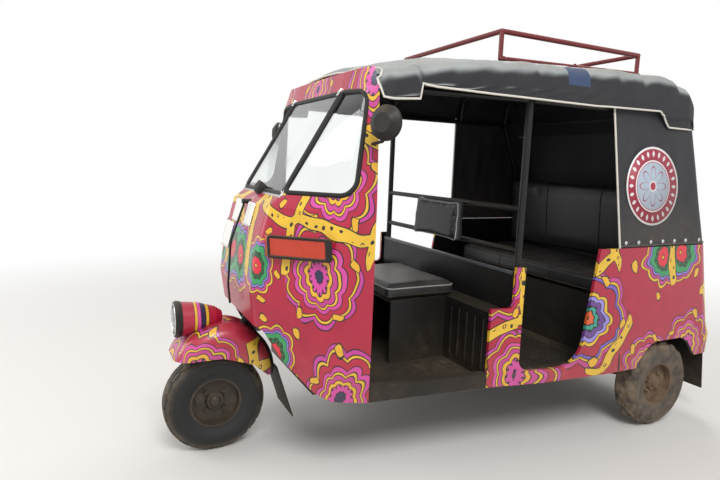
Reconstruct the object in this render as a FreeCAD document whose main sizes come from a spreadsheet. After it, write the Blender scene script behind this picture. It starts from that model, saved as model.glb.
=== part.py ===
import FreeCAD, Part
import Sketcher
import math
import os

# Three-wheeled auto rickshaw with a canvas hood, in millimetres.
# +X is forward, +Y is the vehicle's left, +Z is up.
# The origin is on the ground, under the middle of the overall length.

V = FreeCAD.Vector
UP = V(0, 0, 1)

# Driving dimensions: alias, value, what it is
SIZES = (
    ("front_axle_x", 1109.5, "front axle ahead of the middle of the length"),
    ("wheelbase", 2000, "front axle to rear axle"),
    ("track", 1150, "between the middles of the rear tyres"),
    ("tyre_radius", 208, "4.00-8 tyre, outside"),
    ("tyre_width", 108, "4.00-8 tyre"),
    ("rim_radius", 101.5, "bead seat of the rim"),
    ("rim_width", 74, "between the rim flanges"),
    ("flange_radius", 116, "outside of the rim flange"),
    ("rim_wall", 4, "pressed steel of the rim"),
    ("drum_radius", 78, "brake drum"),
    ("drum_inside", 46, "drum's back face behind the wheel's middle plane"),
    ("axle_radius", 12, "stub axles"),
    ("seat_gap", 0.3, "between faces that seat on each other"),
    ("running_gap", 6, "round what moves"),
    ("steer_rake", 18, "steering axis, degrees from upright"),
    ("steer_foot_x", 960, "steering axis at the height of steer_foot_z"),
    ("steer_foot_z", 600, "lower end of the steering head"),
    ("head_length", 300, "steering head along its axis"),
    ("head_radius", 29, "steering head tube"),
    ("down_tube_radius", 22, "down tube from the head to the chassis"),
    ("column_radius", 17, "steering column and fork leg"),
    ("handlebar_z", 1012, "height of the handlebar"),
    ("handlebar_half", 262, "handlebar, middle to end"),
    ("handlebar_sweep", 170, "handlebar ends behind the column"),
    ("handlebar_drop", 45, "handlebar ends below its middle"),
    ("handlebar_radius", 12, "handlebar tube"),
    ("grip_radius", 17, "rubber grips"),
    ("grip_length", 115, "rubber grips"),
    ("fork_side", 104, "fork leg beside the wheel's middle plane"),
    ("link_thick", 24, "trailing link"),
    ("boss_radius", 24, "bosses at the ends of the trailing link"),
    ("link_forward", 84, "link pivot ahead of the axle"),
    ("link_rise", 30, "link pivot above the axle"),
    ("shock_radius", 20, "front shock absorber's spring"),
    ("guard_width", 240, "front mudguard"),
    ("guard_radius", 214, "front mudguard, side profile"),
    ("guard_back", 24, "centre of that profile behind the axle"),
    ("guard_up", 132, "centre of that profile above the axle"),
    ("guard_skirt", 216, "mudguard's side edge above the axle"),
    ("guard_tail", 120, "mudguard's rear end above the axle"),
    ("guard_wall", 6, "mudguard sheet with its rolled edge"),
    ("guard_round", 62, "rounding of the mudguard's crown"),
    ("lamp_z", 570, "headlamp axis"),
    ("lamp_front_x", 1270, "front of the headlamp rim"),
    ("lamp_radius", 75, "headlamp rim"),
    ("lamp_length", 190, "headlamp shell"),
    ("lamp_rim_depth", 28, "headlamp rim"),
    ("flap_width", 200, "front flap"),
    ("flap_drop", 236, "front flap"),
    ("flap_lean", 76, "front flap's foot behind its head"),
    ("rubber_wall", 5, "rubber flaps"),
    ("sill_z", 325, "underside of the body"),
    ("sill_top_z", 384, "top of the door sill"),
    ("floor_z", 352, "top of the floor"),
    ("floor_wall", 8, "floor sheet with its ribs"),
    ("rail_height", 58, "chassis rails"),
    ("rail_width", 50, "chassis rails"),
    ("rail_apart", 560, "over the chassis rails"),
    ("cowl_rear_x", 640, "rear edge of the front cowl"),
    ("cowl_half", 512, "half width of the cowl at its rear edge"),
    ("nose_x", 1030, "foremost point of the nose"),
    ("nose_half", 268, "half width of the flat front of the nose"),
    ("belt_z", 1085, "foot of the windscreen"),
    ("header_z", 1490, "head of the windscreen"),
    ("brow_rise", 72, "painted brow above the windscreen"),
    ("cowl_wall", 14, "double skin of the cowl"),
    ("screen_foot_x", 920, "foot of the windscreen"),
    ("screen_head_x", 680, "head of the windscreen"),
    ("screen_edge", 9, "frame left round the windscreen"),
    ("glass_wall", 4, "glass"),
    ("lamp_low_z", 868, "side indicators, lower edge"),
    ("indicator_tall", 78, "side indicators"),
    ("indicator_rear_x", 798, "side indicators, rear end"),
    ("indicator_front_x", 984, "side indicators, front end"),
    ("indicator_proud", 24, "side indicators, out from the cowl"),
    ("mirror_radius", 60, "mirror shell"),
    ("mirror_z", 1355, "middle of the mirror"),
    ("mirror_out", 86, "middle of the mirror beyond the pillar"),
    ("body_half", 640, "half width of the rear body"),
    ("body_wall", 14, "double skin of the rear body"),
    ("bulge_z", 430, "fullest height of the fenders"),
    ("crease_z", 500, "fender crease"),
    ("crease_in", 30, "rear panel at the crease, ahead of the fenders"),
    ("body_top_in", 108, "rear panel at its top, ahead of the fenders"),
    ("body_top_z", 890, "top edge of the rear body"),
    ("body_corner", 110, "rounding of the rear corners"),
    ("pillar_front_x", 124, "front end of the painted side"),
    ("pillar_block_z", 655, "top of the pillar's wide foot"),
    ("pillar_top_z", 823, "top of the painted pillar"),
    ("pillar_width", 42, "painted pillar, fore and aft"),
    ("pillar_rear_x", 18, "painted pillar's rear edge behind the origin"),
    ("door_rear_x", 400, "passenger opening's rear edge behind the origin, at the top"),
    ("door_slope", 90, "how far that edge comes forward at the sill"),
    ("arch_front", 212, "wheel arch ahead of the rear axle"),
    ("arch_rear", 230, "wheel arch behind the rear axle"),
    ("arch_top_z", 440, "top of the wheel arch"),
    ("seam_y", 440, "seam between side and rear panel"),
    ("hinge_radius", 6, "hatch hinge knuckles"),
    ("hinge_out", 8, "hatch pivot behind the rear panel"),
    ("hinge_y", 180, "hatch hinges, inner end"),
    ("hinge_leaf", 24, "each leaf of the hatch hinges"),
    ("hatch_half", 300, "half width of the engine hatch"),
    ("hatch_low_z", 512, "foot of the engine hatch"),
    ("hatch_top_z", 800, "head of the engine hatch"),
    ("rear_reach", 1317.5, "rearmost point behind the origin"),
    ("bumper_out", 37.5, "bumper's face behind the fender crease"),
    ("bumper_z", 415, "middle of the rear bumper"),
    ("bumper_tall", 44, "rear bumper"),
    ("bumper_half", 570, "rear bumper, half length"),
    ("rear_flap_low_z", 130, "foot of the rear flaps"),
    ("rear_flap_width", 200, "rear flaps"),
    ("partition_z", 800, "top of the partition"),
    ("partition_in", 96, "partition in from the body's half width"),
    ("partition_wall", 12, "partition board"),
    ("box_front_x", 118, "front of the box below the partition"),
    ("box_top_z", 636, "top of that box"),
    ("driver_seat_rear_x", 62, "driver's cushion, rear edge"),
    ("driver_seat_depth", 380, "driver's cushion"),
    ("driver_seat_half", 255, "driver's cushion, half width"),
    ("driver_seat_tall", 66, "driver's cushion"),
    ("driver_back_half", 195, "driver's backrest, half width"),
    ("driver_back_low_z", 866, "driver's backrest, lower edge"),
    ("driver_back_tall", 204, "driver's backrest"),
    ("driver_back_thick", 54, "driver's backrest"),
    ("post_x", -12, "centre posts"),
    ("post_radius", 14, "tubes of the hood frame"),
    ("post_foot_in", 100, "centre posts at the sill, in from the body's half width"),
    ("post_head_in", 100, "centre posts at the hood rail, in from the body's half width"),
    ("rail_z", 1488, "hood rails along the roof"),
    ("leg_foot_x", 1090, "feet of the hood's rear legs behind the origin"),
    ("low_bar_z", 884, "bar above the partition"),
    ("high_bar_z", 1056, "bar behind the backrest"),
    ("floor_front_x", 728, "front edge of the floor"),
    ("bench_front_x", 560, "front of the bench box behind the origin"),
    ("bench_rear_x", 1010, "rear of the bench box behind the origin"),
    ("bench_z", 640, "top of the bench box"),
    ("bench_in", 146, "bench box in from the body's half width"),
    ("bench_wall", 8, "sheet of the bench box"),
    ("cushion_tall", 105, "bench cushion"),
    ("cushion_in", 80, "bench cushion in from the body's half width"),
    ("bench_back_tall", 420, "bench backrest"),
    ("bench_back_thick", 85, "bench backrest"),
    ("soft_gap", 0.3, "between cushions that lie on each other"),
    ("hood_top_z", 1730, "top of the canvas roof"),
    ("hood_in", 55, "hood's piping in from the body's half width"),
    ("valance_z", 1437, "piping along the hood's side"),
    ("canvas_wall", 8, "canvas with its lining and padding"),
    ("hood_front_x", 655, "front edge of the canvas roof"),
    ("hood_rear_in", 261, "rear edge of the canvas roof ahead of the fender crease"),
    ("flap_rear_in", 110, "canvas back ahead of the fender crease, at its foot"),
    ("flap_in", 14, "canvas sides at their foot, in from the body's half width"),
    ("flap_front_x", 508, "front edge of the canvas sides, at their foot"),
    ("flap_head_x", 460, "front edge of the canvas sides, at their head"),
    ("rack_front_x", 20, "front rail of the roof rack"),
    ("rack_rear_x", 815, "rear rail of the roof rack behind the origin"),
    ("rack_half", 380, "roof rack, half width"),
    ("rack_z", 1776, "top rail of the roof rack"),
    ("rack_radius", 11, "roof rack tube"),
    ("rack_foot_radius", 9, "rails that lie on the canvas"),
    ("engine_long", 400, "engine block"),
    ("engine_wide", 360, "engine block"),
    ("engine_low_z", 225, "engine block, underside"),
    ("engine_tall", 330, "engine block"),
    ("arm_pivot_x", 560, "rear arms' pivots behind the origin"),
    ("arm_inside_y", 420, "rear arms, inner face"),
    ("arm_thick", 44, "rear arms"),
    ("silencer_radius", 52, "silencer"),
    ("silencer_long", 330, "silencer"),
)

doc = FreeCAD.newDocument("auto_rickshaw")
sheet = doc.addObject("Spreadsheet::Sheet", "Sizes")
for row, (alias, value, note) in enumerate(SIZES, 1):
    sheet.set(f"A{row}", str(value))
    sheet.setAlias(f"A{row}", alias)
    sheet.set(f"B{row}", note)
doc.recompute()


class Size:
    """A length that knows its value and the expression that gives it."""

    def __init__(self, value, text):
        self.value = float(value)
        self.text = text

    def _with(self, other, sign, value):
        return Size(value, f"({self.text} {sign} {size(other).text})")

    def __add__(self, other):
        return self._with(other, "+", self.value + float(other))

    def __radd__(self, other):
        return size(other) + self

    def __sub__(self, other):
        return self._with(other, "-", self.value - float(other))

    def __rsub__(self, other):
        return size(other) - self

    def __mul__(self, other):
        return self._with(other, "*", self.value * float(other))

    def __rmul__(self, other):
        return size(other) * self

    def __truediv__(self, other):
        return self._with(other, "/", self.value / float(other))

    def __neg__(self):
        return size(0) - self

    def __float__(self):
        return self.value


def size(number):
    """A plain number as a Size."""
    return number if isinstance(number, Size) else Size(number, f"{float(number):g}")


class Sheet:
    """The sheet's cells by alias."""

    def __getattr__(self, alias):
        return Size(getattr(sheet, alias), f"Sizes.{alias}")


dim = Sheet()
nodes = {}


def keep(label, thing):
    """Name the object that is a node."""
    thing.Label = label
    nodes[label] = thing
    return thing


def bind(thing, **values):
    """Tie properties of an object to the sheet."""
    for name, value in values.items():
        thing.setExpression(name.replace("__", "."), size(value).text)


def place(thing, x, y, z, turn=None):
    """Put an object at a point that follows the sheet."""
    if turn is not None:
        thing.Placement.Rotation = turn
    bind(thing, Placement__Base__x=x, Placement__Base__y=y, Placement__Base__z=z)


def feature(label, shape):
    """A node whose shape is worked out here."""
    thing = doc.addObject("Part::Feature", label)
    thing.Shape = shape
    return keep(label, thing)


def box(name, low, high):
    """A Part box between two corners."""
    thing = doc.addObject("Part::Box", name)
    spans = [size(b) - size(a) for a, b in zip(low, high)]
    bind(thing, Length=spans[0], Width=spans[1], Height=spans[2])
    place(thing, *low)
    return thing


def joined(label, things):
    """A node that is several pieces welded together."""
    fuse = doc.addObject("Part::MultiFuse", label)
    fuse.Shapes = things
    return keep(label, fuse)


def plane_of(body, role):
    """One of a body's own origin planes."""
    return [item for item in body.Origin.OriginFeatures if item.Role == role][0]


def sketch(body, name, role, corners, lift=None):
    """A closed outline of corners (x, y), each tied to the sheet.

    A third value on a corner is the radius of an arc to the next corner.
    """
    drawing = body.newObject("Sketcher::SketchObject", name)
    drawing.AttachmentSupport = [(plane_of(body, role), "")]
    drawing.MapMode = "FlatFace"
    if lift is not None:
        bind(drawing, AttachmentOffset__Base__z=lift)
    points = [V(float(c[0]), float(c[1]), 0) for c in corners]
    count = len(corners)
    for index, corner in enumerate(corners):
        start, end = points[index], points[(index + 1) % count]
        if len(corner) == 2:
            drawing.addGeometry(Part.LineSegment(start, end), False)
        else:
            radius = float(corner[2])
            half = (end - start) * 0.5
            side = half.cross(UP).normalize()
            depth = radius - math.sqrt(radius ** 2 - half.Length ** 2)
            if corner[3:]:
                depth = radius + math.sqrt(radius ** 2 - half.Length ** 2)
            drawing.addGeometry(Part.Arc(start, start + half + side * depth, end), False)
    for index, corner in enumerate(corners):
        ends = []
        for edge in (index - 1, index):
            curve = drawing.Geometry[edge % count]
            near = (curve.StartPoint - points[index]).Length < 1e-6
            ends.append((edge % count, 1 if near else 2))
        drawing.addConstraint(Sketcher.Constraint("Coincident", *ends[0], *ends[1]))
        for kind, value in (("DistanceX", corner[0]), ("DistanceY", corner[1])):
            number = drawing.addConstraint(
                Sketcher.Constraint(kind, -1, 1, *ends[1], float(value)))
            drawing.setExpression(f"Constraints[{number}]", size(value).text)
        if len(corner) > 2:
            number = drawing.addConstraint(
                Sketcher.Constraint("Radius", index, float(corner[2])))
            drawing.setExpression(f"Constraints[{number}]", size(corner[2]).text)
    return drawing


def padded(label, role, corners, middle, depth):
    """A body padded both ways from a plane at a given middle."""
    body = doc.addObject("PartDesign::Body", label)
    lift = -size(middle) if role == "XZ_Plane" else size(middle)
    drawing = sketch(body, label + "_outline", role, corners, lift)
    pad = body.newObject("PartDesign::Pad", label + "_pad")
    pad.Profile = drawing
    pad.Midplane = True
    bind(pad, Length=depth)
    return keep(label, body)


def round_edges(body, radius, picks):
    """Fillet the edges of a body's tip that picks() names."""
    doc.recompute()
    base = body.Tip
    names = [f"Edge{n}" for n, edge in enumerate(base.Shape.Edges, 1) if picks(edge)]
    fillet = body.newObject("PartDesign::Fillet", body.Label + "_rounding")
    fillet.Base = (base, names)
    bind(fillet, Radius=radius)
    body.Tip = fillet
    return body


def turned(label, role, axis, corners, centre, turn=None):
    """A body of revolution, its outline drawn round its own centre."""
    body = doc.addObject("PartDesign::Body", label)
    drawing = sketch(body, label + "_outline", role, corners)
    spin = body.newObject("PartDesign::Revolution", label + "_turn")
    spin.Profile = drawing
    spin.ReferenceAxis = (drawing, [axis])
    spin.Angle = 360
    place(body, *centre, turn)
    return keep(label, body)


def shrink(corners, amounts):
    """Move each side of an anticlockwise outline inwards by its own amount."""
    count = len(corners)
    result = []
    for index, (x, y, radius) in enumerate(corners):
        lines = []
        for side in (index - 1, index):
            start = corners[side % count]
            end = corners[(side + 1) % count]
            way = V(end[0] - start[0], end[1] - start[1], 0).normalize()
            inward = UP.cross(way)
            amount = amounts[side % count]
            lines.append((V(start[0], start[1], 0) + inward * amount, way))
        (p, u), (q, w) = lines
        cross = u.cross(w).z
        along = (q - p).cross(w).z / cross
        point = p + u * along
        change = (amounts[index - 1] + amounts[index]) / 2
        result.append((point.x, point.y, max(radius - change, 2.0) if radius else 0))
    return result


def path_edges(corners, at, closed=True):
    """Lines and tangent arcs through corners (a, b, radius), mapped by at()."""
    count = len(corners)
    turns = []
    for index, (a, b, radius) in enumerate(corners):
        point = V(a, b, 0)
        last = not closed and index in (0, count - 1)
        if not radius or last:
            turns.append((point, None, point))
            continue
        before = V(*corners[index - 1][:2], 0) - point
        after = V(*corners[(index + 1) % count][:2], 0) - point
        angle = before.getAngle(after)
        reach = radius / math.tan(angle / 2)
        middle = (before.normalize() + after.normalize()).normalize()
        mid = point + middle * (radius / math.sin(angle / 2) - radius)
        turns.append((point + before * reach, mid, point + after * reach))
    edges = []
    for index, (start, mid, end) in enumerate(turns):
        if mid is not None:
            arc = Part.Arc(at(start.x, start.y), at(mid.x, mid.y), at(end.x, end.y))
            edges.append(arc.toShape())
        if closed or index < count - 1:
            following = turns[(index + 1) % count][0]
            line = Part.LineSegment(at(end.x, end.y), at(following.x, following.y))
            edges.append(line.toShape())
    return edges


def plan_wire(corners, z):
    """A closed outline in plan at one height."""
    return Part.Wire(path_edges(corners, lambda a, b: V(a, b, z)))


def prism(corners, at, way):
    """A closed outline mapped by at() and swept along a vector."""
    return Part.Face(Part.Wire(path_edges(corners, at))).extrude(way)


def side_prism(corners, low_y, high_y):
    """An outline in side view (x, z, radius) swept across the vehicle."""
    return prism(corners, lambda a, b: V(a, low_y, b), V(0, high_y - low_y, 0))


def solid_box(low, high):
    """A plain box as a shape."""
    return Part.makeBox(high[0] - low[0], high[1] - low[1], high[2] - low[2], V(*low))


def tube(points, radius, bend):
    """A round tube along straight runs joined by arcs in space."""
    edges = []
    start = points[0]
    for before, corner, after in zip(points, points[1:], points[2:]):
        into = (before - corner).normalize()
        out = (after - corner).normalize()
        angle = into.getAngle(out)
        reach = bend / math.tan(angle / 2)
        middle = (into + out).normalize()
        mid = corner + middle * (bend / math.sin(angle / 2) - bend)
        edges.append(Part.LineSegment(start, corner + into * reach).toShape())
        edges.append(Part.Arc(corner + into * reach, mid, corner + out * reach).toShape())
        start = corner + out * reach
    edges.append(Part.LineSegment(start, points[-1]).toShape())
    spine = Part.Wire(edges)
    way = (points[1] - points[0]).normalize()
    ring = Part.Wire(Part.makeCircle(radius, points[0], way))
    return spine.makePipeShell([ring], True, False)


def mirrored(shape):
    """The same shape on the vehicle's other side."""
    return shape.mirror(V(0, 0, 0), V(0, 1, 0))


def both(label, shape):
    """A node of two like pieces, one each side."""
    return feature(label, Part.makeCompound([shape, mirrored(shape)]))


# Places that several pieces share
gap = float(dim.seat_gap)
rear_axle_x = dim.front_axle_x - dim.wheelbase
half_track = dim.track / 2
body_rear = dim.rear_reach - dim.bumper_out
partition_half = dim.body_half - dim.partition_in
bench_half = float(dim.body_half - dim.bench_in)
cushion_half = dim.body_half - dim.cushion_in
hood_half = float(dim.body_half - dim.hood_in)
hood_rear = -float(body_rear - dim.hood_rear_in)
flap_foot_half = float(dim.body_half - dim.flap_in)
rake = math.radians(float(dim.steer_rake))
steer_axis = V(-math.sin(rake), 0, math.cos(rake))


def on_steer_axis(z):
    """The point of the steering axis at a height."""
    foot = V(float(dim.steer_foot_x), 0, float(dim.steer_foot_z))
    return foot + steer_axis * ((float(z) - foot.z) / steer_axis.z)


# Wheels: outlines are (radius, out from the wheel's middle plane)
def wheel_outline():
    """Split pressed rim, its disc, the brake drum and the hub, in one turn."""
    half = dim.rim_width / 2
    lip = half + dim.rim_wall
    inner = dim.rim_radius - dim.rim_wall
    bore = dim.axle_radius + dim.seat_gap
    disc_back, disc_front, hub_face, bore_end = 4, 9, 24, 12
    hub_foot, hub_head = 42, 34
    return [
        (bore, -dim.drum_inside), (dim.drum_radius, -dim.drum_inside),
        (dim.drum_radius, disc_back), (inner, disc_back), (inner, -lip),
        (dim.flange_radius, -lip), (dim.flange_radius, -half),
        (dim.rim_radius, -half), (dim.rim_radius, half),
        (dim.flange_radius, half), (dim.flange_radius, lip), (inner, lip),
        (inner, disc_front), (hub_foot, disc_front), (hub_head, hub_face),
        (0, hub_face), (0, bore_end), (bore, bore_end),
    ]


def tyre_outline():
    """Tyre section, from one bead over the tread to the other."""
    bead = dim.rim_width / 2 - dim.seat_gap
    half = dim.tyre_width / 2
    seat = dim.rim_radius + dim.seat_gap
    clear = dim.flange_radius + 1.5
    shoulder, tread_half = 15, dim.tyre_width / 4
    side = [
        (seat, bead), (clear, bead), (clear + 14, half - 4),
        (dim.tyre_radius - 48, half), (dim.tyre_radius - shoulder, half - 9),
        (dim.tyre_radius, tread_half),
    ]
    other = [(radius, -y) for radius, y in reversed(side)]
    return side + other


WHEELS = (
    # body, x, y, whether its outer face looks to the right
    ("front", dim.front_axle_x, size(0), False),
    ("rear_left", rear_axle_x, half_track, False),
    ("rear_right", rear_axle_x, -half_track, True),
)
for name, x, y, to_right in WHEELS:
    turn = FreeCAD.Rotation(UP, 180 if to_right else 0)
    centre = (x, y, dim.tyre_radius)
    turned(name + "_tyre", "XY_Plane", "V_Axis", tyre_outline(), centre, turn)
    turned(name + "_rim", "XY_Plane", "V_Axis", wheel_outline(), centre, turn)

# Steering: column and fork leg in one bent tube
axle = V(float(dim.front_axle_x), 0, float(dim.tyre_radius))
fork_y = -float(dim.fork_side)
link_pivot = axle + V(float(dim.link_forward), fork_y, float(dim.link_rise))
column_r = float(dim.column_radius)
leg_turn_z = float(dim.tyre_radius) + 295
knee = axle + V(-62, fork_y, 190)
fork_points = [on_steer_axis(dim.handlebar_z), on_steer_axis(leg_turn_z), knee, link_pivot]
fork = tube(fork_points, column_r, 40)
link_wide = float(dim.link_thick)
link_outer = fork_y + column_r + gap
boss_r = float(dim.boss_radius)
boss = Part.makeCylinder(boss_r, 2 * column_r, link_pivot + V(0, -column_r, 0), V(0, 1, 0))
feature("steering_fork", fork.fuse(boss))

# Handlebar: swept back from the column, a grip on each end
bar_mid = on_steer_axis(dim.handlebar_z) + steer_axis * (column_r + gap)
bar_end = bar_mid + V(-float(dim.handlebar_sweep), float(dim.handlebar_half),
                      -float(dim.handlebar_drop))
bar_bend = bar_mid + V(-20, 95, 0)
bar_r = float(dim.handlebar_radius)
bar_half = tube([bar_mid, bar_bend, bar_end], bar_r, 60)
grip_way = (bar_end - bar_bend).normalize()
grip_long = float(dim.grip_length)
grip = Part.makeCylinder(float(dim.grip_radius), grip_long, bar_end - grip_way * grip_long,
                         grip_way)
clamp = Part.makeCylinder(30, 46, bar_mid - steer_axis * column_r, steer_axis)
bar = bar_half.fuse([grip, mirrored(bar_half), mirrored(grip), clamp])
feature("handlebar", bar)

# Trailing link with the front axle and the brake's back plate
link_corners = [(axle.x - 24, axle.z - 22, 14), (link_pivot.x + 18, link_pivot.z - 22, 14),
                (link_pivot.x + 18, link_pivot.z + 20, 14), (axle.x - 24, axle.z + 24, 14)]
link = side_prism(link_corners, link_outer, link_outer + link_wide)
drum_back = -float(dim.drum_inside) - float(dim.running_gap)
plate_thick = 4
across = V(0, 1, 0)
pin = Part.makeCylinder(float(dim.axle_radius), 8 - link_outer,
                        V(axle.x, link_outer, axle.z), across)
plate = Part.makeCylinder(float(dim.drum_radius) - 4, plate_thick,
                          V(axle.x, drum_back - plate_thick, axle.z), across)
web = Part.makeCylinder(boss_r, drum_back - link_outer, V(axle.x, link_outer, axle.z), across)
feature("front_link", link.fuse([pin, plate, web]))

# Front shock absorber beside the fork leg, from the link up to the knee
coil_r = float(dim.shock_radius)
shock_y = fork_y - column_r - coil_r - 1
shock_foot = V(axle.x, shock_y, axle.z + 4)
shock_head = V(knee.x, shock_y, knee.z - 8)
shock_way = (shock_head - shock_foot).normalize()
shock_long = (shock_head - shock_foot).Length
rod = Part.makeCylinder(11, shock_long, shock_foot, shock_way)
coil = Part.makeCylinder(coil_r, shock_long - 60, shock_foot + shock_way * 30, shock_way)
foot_lug = Part.makeCylinder(9, link_outer - gap - shock_y, shock_foot, across)
head_lug = Part.makeCylinder(9, coil_r + 1 - gap, shock_head, across)
feature("front_shock", rod.fuse([coil, foot_lug, head_lug]))

# Front mudguard: an arched side profile with a rounded crown, hollow below
hub_mid = V(axle.x - float(dim.guard_back), 0, axle.z + float(dim.guard_up))


def guard_solid(label, wall, width, extra):
    """Outer form of the mudguard, or the hollow in it."""
    radius = dim.guard_radius - wall
    centre_x = dim.front_axle_x - dim.guard_back
    centre_z = dim.tyre_radius + dim.guard_up
    skirt_z = dim.tyre_radius + dim.guard_skirt - extra
    tail_z = dim.tyre_radius + dim.guard_tail - extra
    rise = float(skirt_z - centre_z)
    fall = float(tail_z - centre_z)
    tip = centre_x + math.sqrt(float(radius) ** 2 - rise ** 2)
    tail = centre_x - math.sqrt(float(radius) ** 2 - fall ** 2)
    corners = [(tip, skirt_z, radius), (tail, tail_z), (centre_x - 175, tail_z),
               (centre_x - 110, skirt_z - 40), (centre_x + 10, skirt_z)]
    body = padded(label, "XZ_Plane", corners, 0, width)
    nodes.pop(label)

    def crown(edge):
        middle = edge.valueAt((edge.FirstParameter + edge.LastParameter) / 2)
        return abs(abs(middle.y) - float(width) / 2) < 0.01 and middle.z > centre_z.value + 100
    round_edges(body, dim.guard_round - wall, crown)
    return body


guard_outer = guard_solid("guard_form", size(0), dim.guard_width, size(0))
guard_inner = guard_solid("guard_hollow", dim.guard_wall, dim.guard_width - dim.guard_wall * 2,
                          size(40))
doc.recompute()
stem_hole = tube(fork_points, column_r + gap, 40)
guard = guard_outer.Shape.cut(guard_inner.Shape).cut(stem_hole)
feature("front_mudguard", guard)

# Headlamp on the mudguard: shell, rim and lens turned round one axis
LAMP_PLACE = (dim.lamp_front_x, 0, dim.lamp_z)
rim_back = -dim.lamp_rim_depth
turned("lamp_form", "XZ_Plane", "H_Axis", [
    (rim_back - gap, 0), (rim_back - gap, dim.lamp_radius - 5),
    (-dim.lamp_length * 0.5, dim.lamp_radius - 12), (-dim.lamp_length * 0.85, 42),
    (-dim.lamp_length, 22), (-dim.lamp_length, 0)], LAMP_PLACE)
turned("headlamp_rim", "XZ_Plane", "H_Axis", [
    (rim_back, dim.lamp_radius - 16), (rim_back, dim.lamp_radius - 4),
    (-dim.lamp_rim_depth * 0.4, dim.lamp_radius), (0, dim.lamp_radius - 5),
    (0, dim.lamp_radius - 14)], LAMP_PLACE)
turned("headlamp_lens", "XZ_Plane", "H_Axis", [
    (rim_back, 0), (rim_back, dim.lamp_radius - 16 - gap),
    (-3, dim.lamp_radius - 15), (3, dim.lamp_radius * 0.4), (4, 0)], LAMP_PLACE)
doc.recompute()
lamp_shape = nodes.pop("lamp_form").Shape
feature("headlamp_shell", lamp_shape.cut(guard_outer.Shape))

# Front flap: a rubber sheet behind the mudguard
guard_tail_x = hub_mid.x - float(dim.guard_radius)
flap_head = V(guard_tail_x - gap, 0, axle.z + float(dim.guard_tail) + 24)
flap_foot = flap_head - V(float(dim.flap_lean), 0, float(dim.flap_drop))
flap_thick = float(dim.rubber_wall)
flap_half = float(dim.flap_width) / 2
feature("front_flap", side_prism(
    [(flap_head.x, flap_head.z, 0), (flap_head.x - flap_thick, flap_head.z, 0),
     (flap_foot.x - flap_thick, flap_foot.z, 0), (flap_foot.x, flap_foot.z, 0)],
    -flap_half, flap_half))

# Cowl and windscreen frame: plan outlines at rising heights
COWL_SECTIONS = (
    # height, behind the nose, front corner in, shoulder x, shoulder in, rear edge in
    (float(dim.sill_z), 70, 30, 770, 34, 7),
    (480, 34, 18, 775, 30, 2),
    (600, 17, 8, 775, 30, 0),
    (720, 0, 0, 775, 30, 0),
    (880, 18, -2, 772, 31, 0),
    (1045, 62, 0, 752, 34, 0),
)
COWL_HEAD = (float(dim.belt_z), None, 3, 735, 34, 0)
FRAME_SECTIONS = (
    # height, front x, front corner in, shoulder x, shoulder in, rear edge in
    (float(dim.belt_z), float(dim.screen_foot_x), 3, 735, 34, 0),
    (float(dim.header_z), float(dim.screen_head_x), 6, 668, 72, 16),
    (float(dim.header_z + dim.brow_rise), float(dim.screen_head_x) - 18, 28, 655, 112, 62),
)


def cowl_corners(front_x, corner_in, shoulder_x, shoulder_in, rear_in):
    """Plan outline of the cowl, anticlockwise from its right rear edge."""
    rear_x = float(dim.cowl_rear_x)
    half = float(dim.cowl_half)
    nose = float(dim.nose_half)
    right = [(rear_x, -half + rear_in, 0), (shoulder_x, -half + shoulder_in, 60),
             (front_x, -nose + corner_in, 45)]
    left = [(x, -y, radius) for x, y, radius in reversed(right)]
    return right + left


def cowl_hull(sections, inset, rear=0.0):
    """Solid between the plan outlines, set in by a wall and let out at the back."""
    wires = []
    for z, front_x, corner_in, shoulder_x, shoulder_in, rear_in in sections:
        corners = cowl_corners(front_x, corner_in, shoulder_x, shoulder_in, rear_in)
        corners = shrink(corners, [inset] * 5 + [-rear])
        wires.append(plan_wire(corners, z))
    return Part.makeLoft(wires, True, True)


nose_x = float(dim.nose_x)
belt = (float(dim.belt_z), float(dim.screen_foot_x), 3, 735, 34, 0)
lower_sections = [(z, nose_x - back, a, b, c, d) for z, back, a, b, c, d in COWL_SECTIONS]
lower_sections.append(belt)
cowl_wall = float(dim.cowl_wall)
cowl_out = cowl_hull(lower_sections, 0)
cowl_in = cowl_hull(lower_sections, cowl_wall, 60)
sill_z = float(dim.sill_z)
arch = side_prism([
    (nose_x + 60, sill_z - 60, 0), (nose_x + 60, 592, 0), (nose_x - 40, 592, 60),
    (918, 462, 60), (812, 342, 110), (float(dim.cowl_rear_x), sill_z, 0),
    (float(dim.cowl_rear_x) - 90, sill_z - 1, 0), (550, sill_z - 60, 0)], -700, 700)
feature("front_cowl", cowl_out.cut(cowl_in).cut(arch))

frame_out = cowl_hull(FRAME_SECTIONS, 0)
frame_in = cowl_hull(FRAME_SECTIONS, cowl_wall, 1)
frame_shell = frame_out.cut(frame_in)

# Windscreen opening, drawn in the plane of the sloping front
belt_z, header_z = float(dim.belt_z), float(dim.header_z)
screen_foot = V(float(dim.screen_foot_x), 0, belt_z)
screen_head = V(float(dim.screen_head_x), 0, header_z)
screen_way = (screen_head - screen_foot).normalize()
screen_long = (screen_head - screen_foot).Length
screen_out = V(0, 1, 0).cross(screen_way).normalize()
edge = float(dim.screen_edge)


def screen_prism(inset):
    """The windscreen's outline, right through the frame."""
    half = float(dim.nose_half) - edge - inset
    low, high = edge + 4 + inset, screen_long - edge - inset
    corners = [(-half, low, 14), (half, low, 14), (half, high, 14), (-half, high, 14)]

    def at(a, b):
        return screen_foot + V(0, a, 0) + screen_way * b - screen_out * 40
    return prism(corners, at, screen_out * 80)


# Quarter windows, drawn square to the cowl's corner panel
QUARTER_WAY = V(-0.64, 0.768, 0)
QUARTER_OUT = V(0.768, 0.64, 0)


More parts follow.
